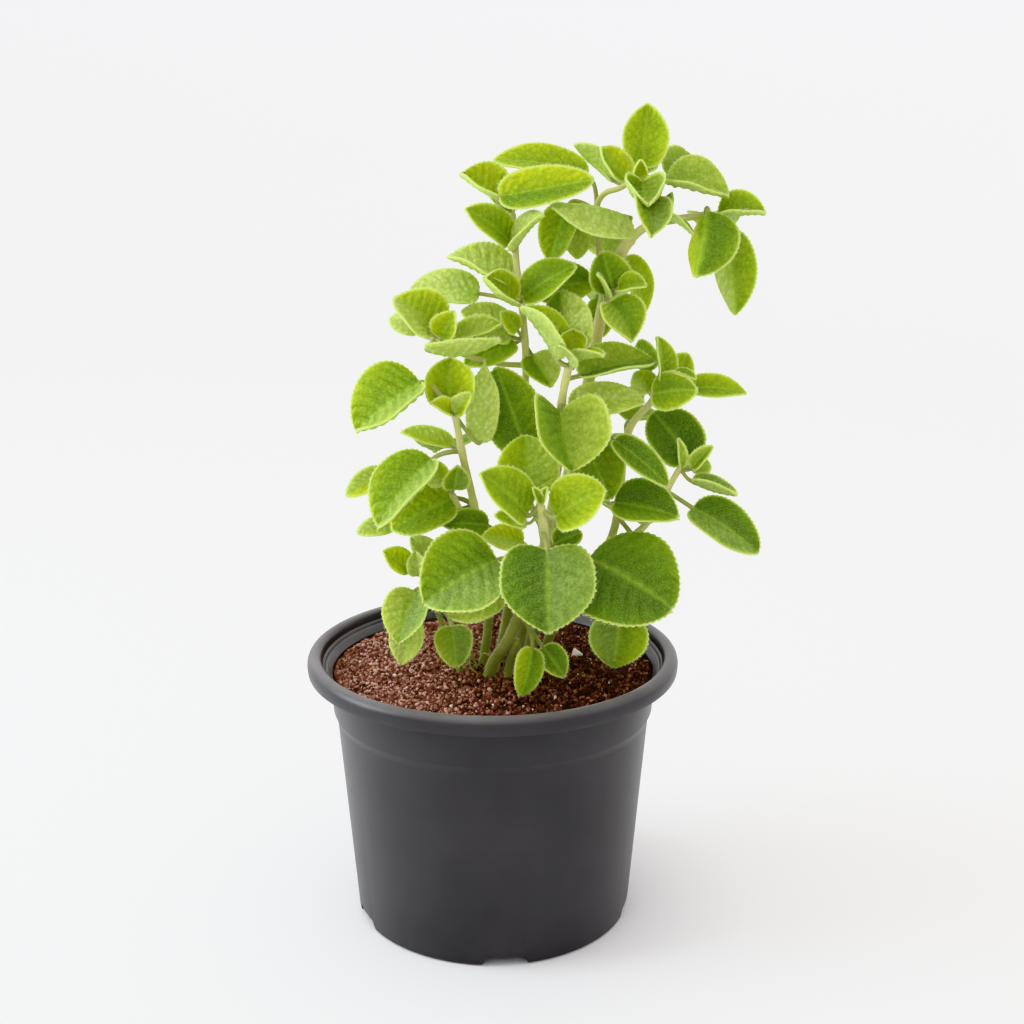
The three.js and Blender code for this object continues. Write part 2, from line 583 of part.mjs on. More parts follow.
// The coir's surface above one place.
function coirHeight(x, y) {
  const edge = wallRadius(COIR_EDGE_HEIGHT);
  const crown = COIR_CROWN * (1 - (x * x + y * y) / (edge * edge));
  const lump = Math.sin(0.19 * x + 0.8) * Math.cos(0.23 * y - 0.4) + 0.6 * Math.sin(0.37 * (x + y));
  return COIR_EDGE_HEIGHT + crown + COIR_LUMP * lump;
}

// The coir fills the pot, with a plain hole for every stem that stands in it.
function coirSolid() {
  const collarRadius = wallRadius(collarTop) + COLLAR_STEP - WALL - COIR_GAP;
  const edgeRadius = wallRadius(COIR_EDGE_HEIGHT) + COLLAR_STEP - WALL - COIR_GAP;
  const profile = [
    [0, FLOOR + COIR_GAP],
    [MIDDLE_RADIUS - WALL - COIR_GAP, FLOOR + COIR_GAP],
    [MIDDLE_RADIUS - WALL - COIR_GAP, channelTop + COIR_GAP],
    [wallRadius(channelTop) - WALL - COIR_GAP, channelTop + COIR_GAP],
    [wallRadius(COLLAR_BOTTOM) - WALL - COIR_GAP, COLLAR_BOTTOM],
    [collarRadius, collarTop],
    [edgeRadius, COIR_EDGE_HEIGHT - 1],
    ...COIR_RINGS.map((radius) => [radius, COIR_EDGE_HEIGHT]),
  ];
  const geometry = turned(profile);
  const position = geometry.attributes.position;
  for (let i = 0; i < position.count; i += 1) {
    if (position.getZ(i) > COIR_EDGE_HEIGHT - 0.01) {
      position.setZ(i, coirHeight(position.getX(i), position.getY(i)));
    }
  }
  let coir = geometrySolid(geometry);
  for (const { stems } of Object.values(PLANTS)) {
    for (const { points, thick } of stems.filter((one) => one.points[0][2] < COIR_EDGE_HEIGHT)) {
      const [foot, above] = points.map(vector);
      const below = foot.clone().addScaledVector(above.sub(foot).normalize(), -1);
      const hole = { points: [below.toArray(), points[1]], thick, thin: thick };
      coir = coir.subtract(stemSolid(hole, HOLE_GAP));
    }
  }
  return coir;
}

// A named mesh from a solid.
function toMesh(name, solid, color, roughness) {
  const { vertProperties, triVerts } = solid.getMesh();
  const geometry = new THREE.BufferGeometry();
  geometry.setAttribute('position', new THREE.BufferAttribute(vertProperties, 3));
  geometry.setIndex(new THREE.BufferAttribute(triVerts, 1));
  geometry.computeVertexNormals();
  const material = new THREE.MeshStandardMaterial({ color, roughness, metalness: 0 });
  const mesh = new THREE.Mesh(geometry, material);
  mesh.name = name;
  return mesh;
}

const plant = new THREE.Group();
plant.add(toMesh('pot', potSolid(), 0x434144, 0.5));
plant.add(toMesh('coir', coirSolid(), 0x7a4232, 1));
for (const [name, shape] of Object.entries(PLANTS)) {
  plant.add(toMesh(name, plantSolid(shape), 0x7fae1c, 0.7));
}

export default plant;
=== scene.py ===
# %% [markdown]
# # Indian borage in a nursery pot
#
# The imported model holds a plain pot, a plain filling and seven leafy stems. This lesson gives each
# of them the surface of the real thing: a turned plastic pot, crumbly coir, and thick velvety leaves
# with scalloped, hairy margins. Nothing is moved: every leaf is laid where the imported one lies.

import math

import bmesh
import bpy
import numpy as np
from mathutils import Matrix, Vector, noise


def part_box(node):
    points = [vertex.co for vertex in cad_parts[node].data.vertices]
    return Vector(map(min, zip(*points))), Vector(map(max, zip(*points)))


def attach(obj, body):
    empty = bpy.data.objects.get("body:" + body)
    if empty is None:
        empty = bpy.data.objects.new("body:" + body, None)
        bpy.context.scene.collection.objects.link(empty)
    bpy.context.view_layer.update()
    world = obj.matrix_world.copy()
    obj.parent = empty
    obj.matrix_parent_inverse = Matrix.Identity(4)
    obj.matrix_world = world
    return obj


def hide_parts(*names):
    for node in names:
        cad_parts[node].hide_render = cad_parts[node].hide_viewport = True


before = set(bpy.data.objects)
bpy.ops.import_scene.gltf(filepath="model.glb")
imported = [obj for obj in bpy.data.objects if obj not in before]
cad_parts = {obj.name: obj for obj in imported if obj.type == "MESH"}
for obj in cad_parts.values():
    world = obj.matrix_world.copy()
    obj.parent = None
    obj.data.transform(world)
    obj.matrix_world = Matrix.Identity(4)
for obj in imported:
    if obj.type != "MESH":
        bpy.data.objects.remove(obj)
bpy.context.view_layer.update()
MM = 0.001
print("nodes:", ", ".join(sorted(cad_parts)))

# %% [markdown]
# ## Colours and nodes
#
# Colours are picked as sRGB hex values, as on any colour chart, and Blender's shaders want linear
# light. One function turns one into the other, and one function adds a shader node with its settings.

# %% Colours and nodes


def linear(hex_code):
    """The linear colour of an sRGB hex value."""
    channels = [int(hex_code[i:i + 2], 16) / 255 for i in (1, 3, 5)]
    return [c / 12.92 if c <= 0.04045 else ((c + 0.055) / 1.055) ** 2.4 for c in channels] + [1]


def set_inputs(material, node, inputs):
    """Sets inputs to numbers, hex colours, other sockets, or nodes, whose first output in use is meant."""
    for name, value in inputs.items():
        if isinstance(value, bpy.types.Node):
            value = next(socket for socket in value.outputs if socket.enabled)
        if isinstance(value, bpy.types.NodeSocket):
            material.node_tree.links.new(value, node.inputs[name])
        else:
            node.inputs[name].default_value = linear(value) if isinstance(value, str) else value


def add_node(material, kind, inputs=None, **settings):
    """Adds a shader node with its settings and its inputs, which are named or numbered."""
    node = material.node_tree.nodes.new("ShaderNode" + kind)
    for name, value in settings.items():
        setattr(node, name, value)
    set_inputs(material, node, inputs or {})
    return node


def new_material(name):
    """A material with nothing but its shader."""
    material = bpy.data.materials.new(name)
    material.use_nodes = True
    return material


def set_shader(material, inputs):
    """Sets the inputs of a material's shader."""
    set_inputs(material, material.node_tree.nodes["Principled BSDF"], inputs)


def set_ramp(node, stops):
    """Gives a colour ramp its stops, each a place and a hex colour."""
    elements = node.color_ramp.elements
    while len(elements) < len(stops):
        elements.new(0.5)
    for element, (place, colour) in zip(elements, stops):
        element.position = place
        element.color = linear(colour)


# %% [markdown]
# ## The pot: moulded polypropylene
#
# A nursery pot is injection moulded from black recycled polypropylene. The plastic is satin rather
# than glossy, its black is a warm dark grey, and wherever it faces up it is paler: partly a film of
# dust, partly painted light from above. The inside is painted darker, as painted shade; normals that
# point towards the pot's middle give it away. The pattern is a fine mould grain of about half a
# millimetre, and wide soft clouds of dust.

# %% Polypropylene
GRAIN_MM = 0.5
GRAIN_DEPTH_MM = 0.05
DUST_MM = 40
DUST_AND_TOP_LIGHT_COLOUR = "#8c8988"
INSIDE_SHADE_COLOUR = "#141312"

polypropylene = new_material("moulded_polypropylene")
place = add_node(polypropylene, "TexCoord").outputs["Object"]
normal = add_node(polypropylene, "NewGeometry").outputs["Normal"]
dust = add_node(polypropylene, "TexNoise", {"Vector": place, "Scale": 1 / (DUST_MM * MM), "Detail": 6})
tint = add_node(polypropylene, "ValToRGB", {"Fac": dust})
set_ramp(tint, [(0.3, "#2c2a2c"), (0.7, "#373538")])
# Whatever faces up is mixed towards a paler grey: partly settled dust, partly painted light from above.
upward = add_node(polypropylene, "SeparateXYZ", {0: normal}).outputs["Z"]
faces_up = add_node(polypropylene, "MapRange", {"Value": upward, "From Min": 0.3, "To Max": 0.9})
dust_and_top_light = add_node(polypropylene, "Math", {0: faces_up, 1: dust}, operation="MULTIPLY")
# Painted shade: faces whose normals point towards the pot's middle, the inside, are painted darker.
outward = add_node(polypropylene, "VectorMath", {0: normal, 1: place}, operation="DOT_PRODUCT")
inside = add_node(polypropylene, "MapRange",
                  {"Value": outward, "From Min": 0.01, "From Max": -0.03, "To Max": 0.75})
for share, coat in (dust_and_top_light, DUST_AND_TOP_LIGHT_COLOUR), (inside, INSIDE_SHADE_COLOUR):
    tint = add_node(polypropylene, "Mix", {"Factor": share, 6: tint, 7: coat}, data_type="RGBA")
gloss = add_node(polypropylene, "MapRange", {"Value": dust, "To Min": 0.3, "To Max": 0.42})
grain = add_node(polypropylene, "TexNoise", {"Vector": place, "Scale": 1 / (GRAIN_MM * MM), "Detail": 3})
relief = add_node(polypropylene, "Bump",
                  {"Height": grain, "Strength": 0.25, "Distance": GRAIN_DEPTH_MM * MM})
set_shader(polypropylene, {"Base Color": tint, "Roughness": gloss, "Normal": relief, "IOR": 1.49})
print("polypropylene: mould grain", GRAIN_MM, "mm")

# %% [markdown]
# ## Turning a round piece
#
# A pot is round, so it starts as a low cylinder. Its top face is extruded and scaled again and
# again, each time to the next radius and height of the profile: up the wall, over the rim, and
# down inside. The face that is left at the end is the floor, so the solid stays closed. The bottom
# face can be carried on in the same way, to give the pot its foot and its raised channel.

# %% Turning


def new_form(add, **settings):
    """A new primitive in edit mode, with nothing else selected."""
    bpy.ops.object.select_all(action="DESELECT")
    add(**settings)
    bpy.ops.object.mode_set(mode="EDIT")
    return bpy.context.active_object


def select(obj, kind, wanted):
    """Selects the faces or the edges that the test accepts, in edit mode."""
    bpy.ops.mesh.select_mode(type=kind)
    mesh = bmesh.from_edit_mesh(obj.data)
    for element in mesh.faces if kind == "FACE" else mesh.edges:
        element.select_set(wanted(element))
    mesh.select_flush_mode()
    bmesh.update_edit_mesh(obj.data)


def carry_on(profile, extrude=bpy.ops.mesh.extrude_region_move):
    """Extrudes what is selected, a round face or its edges, along a profile that starts at it."""
    for (radius, height), (next_radius, next_height) in zip(profile, profile[1:]):
        extrude(TRANSFORM_OT_translate={"value": (0, 0, (next_height - height) * MM)})
        factor = next_radius / radius
        bpy.ops.transform.resize(value=(factor, factor, 1))


def turn(name, sides, profile, underside):
    """A round solid from its profile, a list of radius and height in millimetres."""
    (radius, height), (top_radius, top) = profile[0], profile[1]
    obj = new_form(bpy.ops.mesh.primitive_cylinder_add, vertices=sides, radius=radius * MM,
                   depth=(top - height) * MM, location=(0, 0, (top + height) / 2 * MM))
    obj.name = obj.data.name = name
    select(obj, "FACE", lambda face: face.normal.z < -0.9)
    carry_on([profile[0]] + underside)
    select(obj, "FACE", lambda face: face.normal.z > 0.9)
    bpy.ops.transform.resize(value=(top_radius / radius, top_radius / radius, 1))
    carry_on(profile[1:])
    bpy.ops.object.mode_set(mode="OBJECT")
    bpy.ops.object.transform_apply(location=True, rotation=True, scale=True)
    return obj


def select_only(obj):
    """Selects one object and makes it the active one."""
    bpy.ops.object.select_all(action="DESELECT")
    bpy.context.view_layer.objects.active = obj
    obj.select_set(True)


# %% [markdown]
# ## The nursery pot
#
# The wall flares by 0.083 mm for each millimetre of height. A step near the top carries the pots
# when they are stacked. The mouth flares, and its rim is rolled outward and down, which stiffens the
# thin wall. Small ledges run round inside the flare. The floor rises to a channel inside the foot.
# Water runs through five holes in the channel, and out by five slots in the foot.

# %% Nursery pot
pot_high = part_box("pot")[1]
RIM_RADIUS = max(pot_high[0], pot_high[1]) / MM
POT_HEIGHT = pot_high[2] / MM
BASE_RADIUS = 64
WALL_FLARE = 0.083
WALL = 1.6
FLOOR = 2
MIDDLE_RADIUS = 42
CHANNEL_HEIGHT = 3.8
CHANNEL_TOP = CHANNEL_HEIGHT + FLOOR
FOOT_WIDTH = 3.6
STEP_START = 96
STEP_END = 100
STEP = 1.3
POT_SIDES = 160


def wall(height):
    """The outer radius of the wall."""
    return BASE_RADIUS + WALL_FLARE * height + (STEP if height >= STEP_END else 0)


# The rim, from the outside of the flare to its inside: how far each point lies inward, and its height.
rim = [(RIM_RADIUS - inward, height) for inward, height in (
    (6.6, 119.9), (6.1, 120.8), (5.5, 123), (5, 123.4), (2.8, 123.2), (1.8, 122.2), (1.6, 118.8),
    (1.3, 118.3), (0.9, 118.15), (0.5, 118.3), (0.25, 118.8), (0, 120.8), (0.02, 122.4), (0.35, 123.8),
    (1.1, 125), (2.2, 125.75), (3.6, POT_HEIGHT), (5, 125.8), (5.8, 125.3), (6.3, 124.6), (6.7, 123.4),
    (7.1, 121.7), (7.9, 121.1), (8.3, 120.1), (9.3, 119.5), (9.8, 118.6), (11.2, 117.6))]
outside = [
    (BASE_RADIUS - 1.4, 0), (BASE_RADIUS - 0.8, 0.3), (BASE_RADIUS - 0.1, 0.9), (wall(1.8), 1.8),
    (wall(STEP_START - 0.5), STEP_START - 0.5), (wall(STEP_START) + 0.2, STEP_START + 0.5),
    (wall(STEP_END - 1) + STEP - 0.3, STEP_END - 1), (wall(STEP_END), STEP_END), (wall(115), 115),
    (wall(117) + 0.1, 117),
]
inner = [(wall(height) - WALL, height) for height in (116.6, STEP_END, STEP_START)] + [
    (wall(CHANNEL_TOP) - WALL, CHANNEL_TOP + 0.4), (wall(CHANNEL_TOP) - WALL - 0.4, CHANNEL_TOP),
    (MIDDLE_RADIUS - WALL, CHANNEL_TOP), (MIDDLE_RADIUS - WALL, FLOOR),
]
foot = BASE_RADIUS - FOOT_WIDTH
pot_underside = [(foot + 0.4, 0), (foot, 0.4), (foot, CHANNEL_HEIGHT), (MIDDLE_RADIUS, CHANNEL_HEIGHT),
                 (MIDDLE_RADIUS, 0)]
pot = turn("nursery_pot", POT_SIDES, outside + rim + inner, pot_underside)

# %% Slots and drain holes
SLOTS = 5
SLOT_WIDTH = 21.5
SLOT_TOP_WIDTH = 16.5
SLOT_HEIGHT = 4.7
SLOT_DEPTH = 14
SLOT_MIDDLE_RADIUS = 66
DRAIN_WIDTH = 12
DRAIN_LENGTH = 6
DRAIN_MIDDLE_RADIUS = 55
FIRST_SLOT = math.radians(-85.5)


def cutter_box(angle, radius, height, size, taper=1):
    """A box that looks outward from the pot's axis, narrower at its top by the taper."""
    middle = (radius * math.cos(angle) * MM, radius * math.sin(angle) * MM, height * MM)
    box = new_form(bpy.ops.mesh.primitive_cube_add, size=1, location=middle, rotation=(0, 0, angle))
    box.scale = [side * MM for side in size]
    select(box, "FACE", lambda face: face.normal.z > 0.9)
    bpy.ops.transform.resize(value=(1, taper, 1), orient_type="LOCAL")
    bpy.ops.object.mode_set(mode="OBJECT")
    return box


# The slot's box reaches as far below the floor as above it, so its foot is wider by that much.
slot_foot = 2 * SLOT_WIDTH - SLOT_TOP_WIDTH
slot_size = (SLOT_DEPTH, slot_foot, 2 * SLOT_HEIGHT)
drain_size = (DRAIN_LENGTH, DRAIN_WIDTH, 2 * FLOOR)
cutters = []
for number in range(SLOTS):
    angle = FIRST_SLOT + 2 * math.pi * number / SLOTS
    cutters.append(cutter_box(angle, SLOT_MIDDLE_RADIUS, 0, slot_size, SLOT_TOP_WIDTH / slot_foot))
    cutters.append(cutter_box(angle, DRAIN_MIDDLE_RADIUS, CHANNEL_HEIGHT + FLOOR / 2, drain_size))
select_only(cutters[0])
for cutter in cutters:
    cutter.select_set(True)
bpy.ops.object.join()
cut = pot.modifiers.new("slots", "BOOLEAN")
cut.operation = "DIFFERENCE"
cut.solver = "EXACT"
cut.object = cutters[0]
select_only(pot)
bpy.ops.object.modifier_apply(modifier="slots")
bpy.ops.object.shade_smooth_by_angle(angle=math.radians(32))
bpy.data.objects.remove(cutters[0], do_unlink=True)
pot.data.materials.append(polypropylene)
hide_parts("pot")
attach(pot, "root")
print("pot:", len(pot.data.polygons), "faces,", SLOTS, "slots")

# %% [markdown]
# ## Coir
#
# Coir is shredded coconut husk: dull red-brown crumbs of one to two millimetres, with painted shade
# in the pores between them, pale flakes of husk and a few white grains of perlite. Its colour changes
# from crumb to crumb, so each crumb carries a shade of its own as an attribute, and the material reads it.

# %% Coir materials
POROUS_DEPTH_MM = 0.15


def read_attribute(material, name):
    """The socket of a number that each point carries."""
    return add_node(material, "Attribute", attribute_name=name).outputs["Fac"]


def crumbly(name, stops, rough, pattern_mm):
    """A dry, granular material. The attribute shade picks the colour of each grain."""
    material = new_material(name)
    place = add_node(material, "TexCoord").outputs["Object"]
    speck = add_node(material, "TexNoise", {"Vector": place, "Scale": 1 / (pattern_mm * MM), "Detail": 4})
    mixed = add_node(material, "Math", {0: speck, 1: 0.5, 2: read_attribute(material, "shade")},
                     operation="MULTIPLY_ADD")
    tint = add_node(material, "ValToRGB", {"Fac": mixed})
    set_ramp(tint, stops)
    relief = add_node(material, "Bump",
                      {"Height": speck, "Strength": 0.6, "Distance": POROUS_DEPTH_MM * MM})
    set_shader(material, {"Base Color": tint, "Normal": relief, "Roughness": rough,
                          "Specular IOR Level": 0.25})
    return material


coir_fibre = crumbly(
    "coir_crumb", [(0.2, "#1d110f"), (0.45, "#7e5044"), (0.75, "#b08373"), (1, "#d8b6a8")], 0.9, 0.5)
husk = crumbly("coconut_husk_flake", [(0.2, "#8e5c42"), (0.6, "#c0946f"), (1, "#e2c6a4")], 0.8, 0.5)
perlite = crumbly("perlite_grain", [(0.2, "#cfc4b6"), (0.6, "#e8e0d4"), (1, "#f6f2ea")], 0.7, 0.4)

# %% [markdown]
# ## Meshes from arrays
#
# Thousands of crumbs and leaves are copies of a few forms. Numpy moves all their points at once,
# and this function turns the result into one mesh, with an attribute for each thing that the
# material wants to know about a point.

# %% Meshes from arrays


def mesh_object(name, points, triangles, material, attributes=None):
    """An object from points in millimetres and triangles."""
    mesh = bpy.data.meshes.new(name)
    points = np.asarray(points, dtype=np.float32) * MM
    triangles = np.asarray(triangles, dtype=np.int32)
    mesh.vertices.add(len(points))
    mesh.vertices.foreach_set("co", points.ravel())
    mesh.loops.add(triangles.size)
    mesh.loops.foreach_set("vertex_index", triangles.ravel())
    mesh.polygons.add(len(triangles))
    mesh.polygons.foreach_set("loop_start", np.arange(0, triangles.size, 3, dtype=np.int32))
    for title, values in (attributes or {}).items():
        data = mesh.attributes.new(title, "FLOAT", "POINT").data
        data.foreach_set("value", np.asarray(values, dtype=np.float32))
    mesh.update(calc_edges=True)
    mesh.validate()
    mesh.polygons.foreach_set("use_smooth", np.ones(len(mesh.polygons), dtype=bool))
    mesh.materials.append(material)
    obj = bpy.data.objects.new(name, mesh)
    bpy.context.scene.collection.objects.link(obj)
    return obj


def read_mesh(obj):
    """The points and triangles of an object, which is then removed."""
    obj.data.calc_loop_triangles()
    points = np.array([vertex.co for vertex in obj.data.vertices])
    triangles = np.array([triangle.vertices for triangle in obj.data.loop_triangles])
    bpy.data.objects.remove(obj, do_unlink=True)
    return points, triangles


def scatter(template, places, turns, sizes):
    """Copies of a template, turned, scaled along its own axes and placed, as one set of arrays."""
    points, triangles = template
    laid = np.einsum("nij,npj->npi", turns, points[None] * sizes[:, None, :]) + places[:, None, :]
    offsets = np.arange(len(places)) * len(points)
    return laid.reshape(-1, 3), (triangles[None] + offsets[:, None, None]).reshape(-1, 3)


def smooth_step(low, high, value):
    """0 below low, 1 above high, and a smooth rise between them."""
    t = np.clip((value - low) / (high - low), 0, 1)
    return t * t * (3 - 2 * t)


def random_turns(chance, count):
    """Random rotation matrices."""
    quaternions = chance.normal(size=(count, 4))
    quaternions /= np.linalg.norm(quaternions, axis=1)[:, None]
    w, x, y, z = quaternions.T
    return np.stack([
        np.stack([1 - 2 * (y * y + z * z), 2 * (x * y - z * w), 2 * (x * z + y * w)], 1),
        np.stack([2 * (x * y + z * w), 1 - 2 * (x * x + z * z), 2 * (y * z - x * w)], 1),
        np.stack([2 * (x * z - y * w), 2 * (y * z + x * w), 1 - 2 * (x * x + y * y)], 1)], 1)


# %% [markdown]
# ## The filling
#
# The coir fills the pot. It is turned like the pot, then its top is made uneven: first the same
# broad lumps as the imported one, then smaller clods from fractal noise. Crumbs are scattered on
# it, and flakes of husk and perlite lie between them. Towards +X it is painted darker, as painted shade.

# %% Filling
COIR_GAP = 0.35
COIR_EDGE_HEIGHT = 116.5
COIR_CROWN = 3
COIR_LUMP = 0.8
CLOD_MM = 9
CLOD_HEIGHT = 1.1
COIR_CRUMB_MM = 1.7
COIR_CRUMB_HEIGHT = 0.45
COIR_SHADE_MM = 2.2
COIR_RINGS = 62
COIR_SIDES = 150
RIGHT_SHADE_DEPTH = 0.42
RIGHT_SHADE_STARTS, RIGHT_SHADE_FULL = -45, 40
COIR_EDGE = wall(COIR_EDGE_HEIGHT) - WALL - COIR_GAP


def coir_height(x, y):
    """The height of the coir above one place, in millimetres."""
    crown = COIR_CROWN * (1 - (x * x + y * y) / (COIR_EDGE * COIR_EDGE))
    lump = math.sin(0.19 * x + 0.8) * math.cos(0.23 * y - 0.4) + 0.6 * math.sin(0.37 * (x + y))
    clod = noise.fractal(Vector((x / CLOD_MM, y / CLOD_MM, 3)), 0.8, 2.1, 4)
    crumb = noise.noise(Vector((x / COIR_CRUMB_MM, y / COIR_CRUMB_MM, 8)))
    return COIR_EDGE_HEIGHT + crown + COIR_LUMP * lump + CLOD_HEIGHT * clod + COIR_CRUMB_HEIGHT * crumb


def right_side_shade(x):
    """How much darker painted shade makes the coir at a distance x from the middle, in millimetres."""
    return RIGHT_SHADE_DEPTH * smooth_step(RIGHT_SHADE_STARTS, RIGHT_SHADE_FULL, x)


middle = MIDDLE_RADIUS - WALL - COIR_GAP
coir_underside = [(middle, CHANNEL_TOP + COIR_GAP), (middle, FLOOR + COIR_GAP)]
coir_profile = [(wall(CHANNEL_TOP) - WALL - COIR_GAP, CHANNEL_TOP + COIR_GAP)]
coir_profile += [(wall(height) - WALL - COIR_GAP, height)
                 for height in (CHANNEL_TOP + 1, STEP_START, STEP_END)]
coir_profile += [(COIR_EDGE, COIR_EDGE_HEIGHT - 1)]
coir_profile += [(COIR_EDGE * (1 - ring / COIR_RINGS), COIR_EDGE_HEIGHT) for ring in range(COIR_RINGS)]
coir = turn("coir_filling", COIR_SIDES, coir_profile, coir_underside)
for vertex in coir.data.vertices:
    if vertex.co.z > (COIR_EDGE_HEIGHT - 0.01) * MM:
        vertex.co.z = coir_height(vertex.co.x / MM, vertex.co.y / MM) * MM
# The filling shows between the crumbs, and its low shade is painted shade in the gaps between them.
shade = coir.data.attributes.new("shade", "FLOAT", "POINT")
shade.data.foreach_set("value", [
    0.1 + 0.3 * noise.noise(Vector(vertex.co) / (COIR_SHADE_MM * MM)) - 0.4 * right_side_shade(vertex.co.x / MM)
    for vertex in coir.data.vertices])
coir.data.materials.append(coir_fibre)
select_only(coir)
bpy.ops.object.shade_smooth_by_angle(angle=math.radians(50))
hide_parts("coir")
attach(coir, "root")
print("coir filling:", len(coir.data.polygons), "faces")

# %% Crumbs
CRUMBS = 8400
COIR_MARGIN = 1.2
chance = np.random.default_rng(17)


def on_coir(count):
    """Random places on the coir, in millimetres."""
    radius = (COIR_EDGE - COIR_MARGIN) * np.sqrt(chance.random(count))
    angle = 2 * math.pi * chance.random(count)
    x, y = radius * np.cos(angle), radius * np.sin(angle)
    return np.column_stack([x, y, [coir_height(a, b) for a, b in zip(x, y)]])


def rough_ball(detail, roughness):
    """An uneven grain, one unit in radius."""
    new_form(bpy.ops.mesh.primitive_ico_sphere_add, subdivisions=detail, radius=1)
    bpy.ops.mesh.select_all(action="SELECT")
    bpy.ops.transform.vertex_random(offset=roughness, seed=4)
    bpy.ops.object.mode_set(mode="OBJECT")
    return read_mesh(bpy.context.active_object)


crumb_form = rough_ball(1, 0.4)


def strew(name, material, places, sizes, shades):
    """One piece made of turned copies of the crumb form. Shades draws one shade for each."""
    arrays = scatter(crumb_form, places, random_turns(chance, len(places)), sizes)
    return mesh_object(name, *arrays, material, {"shade": np.repeat(shades(), len(crumb_form[0]))})


crumb_sizes = (0.4 + 0.75 * chance.random(CRUMBS) ** 2)[:, None] * (0.6 + 0.7 * chance.random((CRUMBS, 3)))
crumb_places = on_coir(CRUMBS)
crumb_places[:, 2] += 0.25 * crumb_sizes[:, 2]
# Painted shade darkens the crumbs towards +X.
crumbs = strew("coir_crumbs", coir_fibre, crumb_places, crumb_sizes, lambda: np.clip(
    chance.normal(0.48, 0.18, CRUMBS) - right_side_shade(crumb_places[:, 0]), 0, 0.7))
print("crumbs:", CRUMBS)

# %% Husk flakes
FLAKES = 420
FLAKE_THICKNESS = 0.14
FLAKE_LIFT = 0.45
flake_sizes = np.column_stack([0.5 + 0.9 * chance.random(FLAKES), 0.3 + 0.4 * chance.random(FLAKES),
                               np.full(FLAKES, FLAKE_THICKNESS)])
flake_places = on_coir(FLAKES)
flake_places[:, 2] += FLAKE_LIFT
flakes = strew("husk_flakes", husk, flake_places, flake_sizes, lambda: chance.random(FLAKES) * 0.7)
print("husk flakes:", FLAKES)

# %% Grains of perlite
# The larger white grains that show at the front are placed one by one, and small ones at random.
GRAINS = 46
SEEN_GRAINS = [
    (27, -44, 1.1), (13, -51, 0.7), (0, -52, 0.7), (17, -54, 0.6), (-38, -30, 0.9),
    (-30, -46, 0.8), (-18, -50, 0.9), (-44, -18, 0.8), (-24, -33, 0.7), (8, -20, 0.8), (52, -24, 0.6),
]
small_grains = on_coir(GRAINS)
grain_places = np.array([(x, y, coir_height(x, y)) for x, y, _ in SEEN_GRAINS] + small_grains.tolist())
grain_radii = np.array([size for _, _, size in SEEN_GRAINS] + (0.25 + 0.4 * chance.random(GRAINS)).tolist())
grain_sizes = grain_radii[:, None] * (0.65 + 0.5 * chance.random((len(grain_radii), 3)))
grain_places[:, 2] += 0.45 * grain_radii + 0.3
grains = strew("perlite_grains", perlite, grain_places, grain_sizes,
               lambda: chance.random(len(grain_radii)) * 0.6)
print("grains of perlite:", len(grain_radii))

# %% The large chip
# One flat chip of perlite is much larger than the rest.
CHIP_PLACE = (39, 9)
CHIP_SIZE = (3.7, 3.1, 3.1)
CHIP_LIFT = 1.3
new_form(bpy.ops.mesh.primitive_cylinder_add, vertices=3, radius=1, depth=0.8, rotation=(0.85, -0.1, 0.3))
bpy.ops.mesh.select_all(action="SELECT")
bpy.ops.mesh.bevel(offset=0.25, segments=3, affect="EDGES")
bpy.ops.transform.vertex_random(offset=0.05, seed=2)
bpy.ops.object.mode_set(mode="OBJECT")
bpy.ops.object.transform_apply(location=True, rotation=True, scale=True)
chip_points, chip_triangles = read_mesh(bpy.context.active_object)
chip_points = chip_points * CHIP_SIZE + (*CHIP_PLACE, coir_height(*CHIP_PLACE) + CHIP_LIFT)
chip = mesh_object("perlite_chip", chip_points, chip_triangles, perlite,
                   {"shade": np.full(len(chip_points), 0.5)})
for piece in (crumbs, flakes, grains, chip):
    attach(piece, "root")
print("the chip lies", round(CHIP_PLACE[0]), "mm right of the middle")

# %% [markdown]
# ## The plant's plan
#
# Every leafy stem is written down as on the imported model: the points that its stems follow, with
# their thickness at both ends, and the leaves that grow from each point. A leaf is given by the foot
# and the tip of its blade, its width when flat, the way its upper face looks, how far each half is
# folded up, how much it curls on towards the margin, how high the midrib bows, how heart-shaped
# its foot is and how pointed its tip. The word in front is its colour, or the words for its right
# and its left half, seen with the tip up. Besides the leaf's own colour, these words paint the light
# and shade on each half: a lit half gets a paler word and a shaded half a deeper one. Lengths are
# millimetres.

# %% The plant's plan
PLANTS = {}


def pair(value):
    """Two angles, for the right and the left half of a leaf, where one is given for both."""
    return value if isinstance(value, tuple) else (value, value)


def leaf(colour, foot, tip, wide, face, fold=10, curl=15, bow=0.06, heart=0.05, point=0.3):
    """One leaf. A slash parts the two words, and a tuple the two angles, for its right and left half."""
    words = colour.split("/")
    return dict(colour=(words[0], words[-1]), foot=foot, tip=tip, wide=wide, face=face,
                fold=pair(fold), curl=pair(curl), bow=bow, heart=heart, point=point)


def stem(points, thick, thin):
    """One stem, from its foot to its tip."""
    return dict(points=points, thick=thick, thin=thin)


def at(point, *leaves):
    """The leaves that grow from one point."""
    return dict(point=point, leaves=leaves)


def add_plant(name, stems, *whorls):
    """Writes one leafy stem into the plan."""
    PLANTS[name] = dict(stems=stems, whorls=whorls)
    print(name, "has", sum(len(whorl["leaves"]) for whorl in whorls), "leaves")


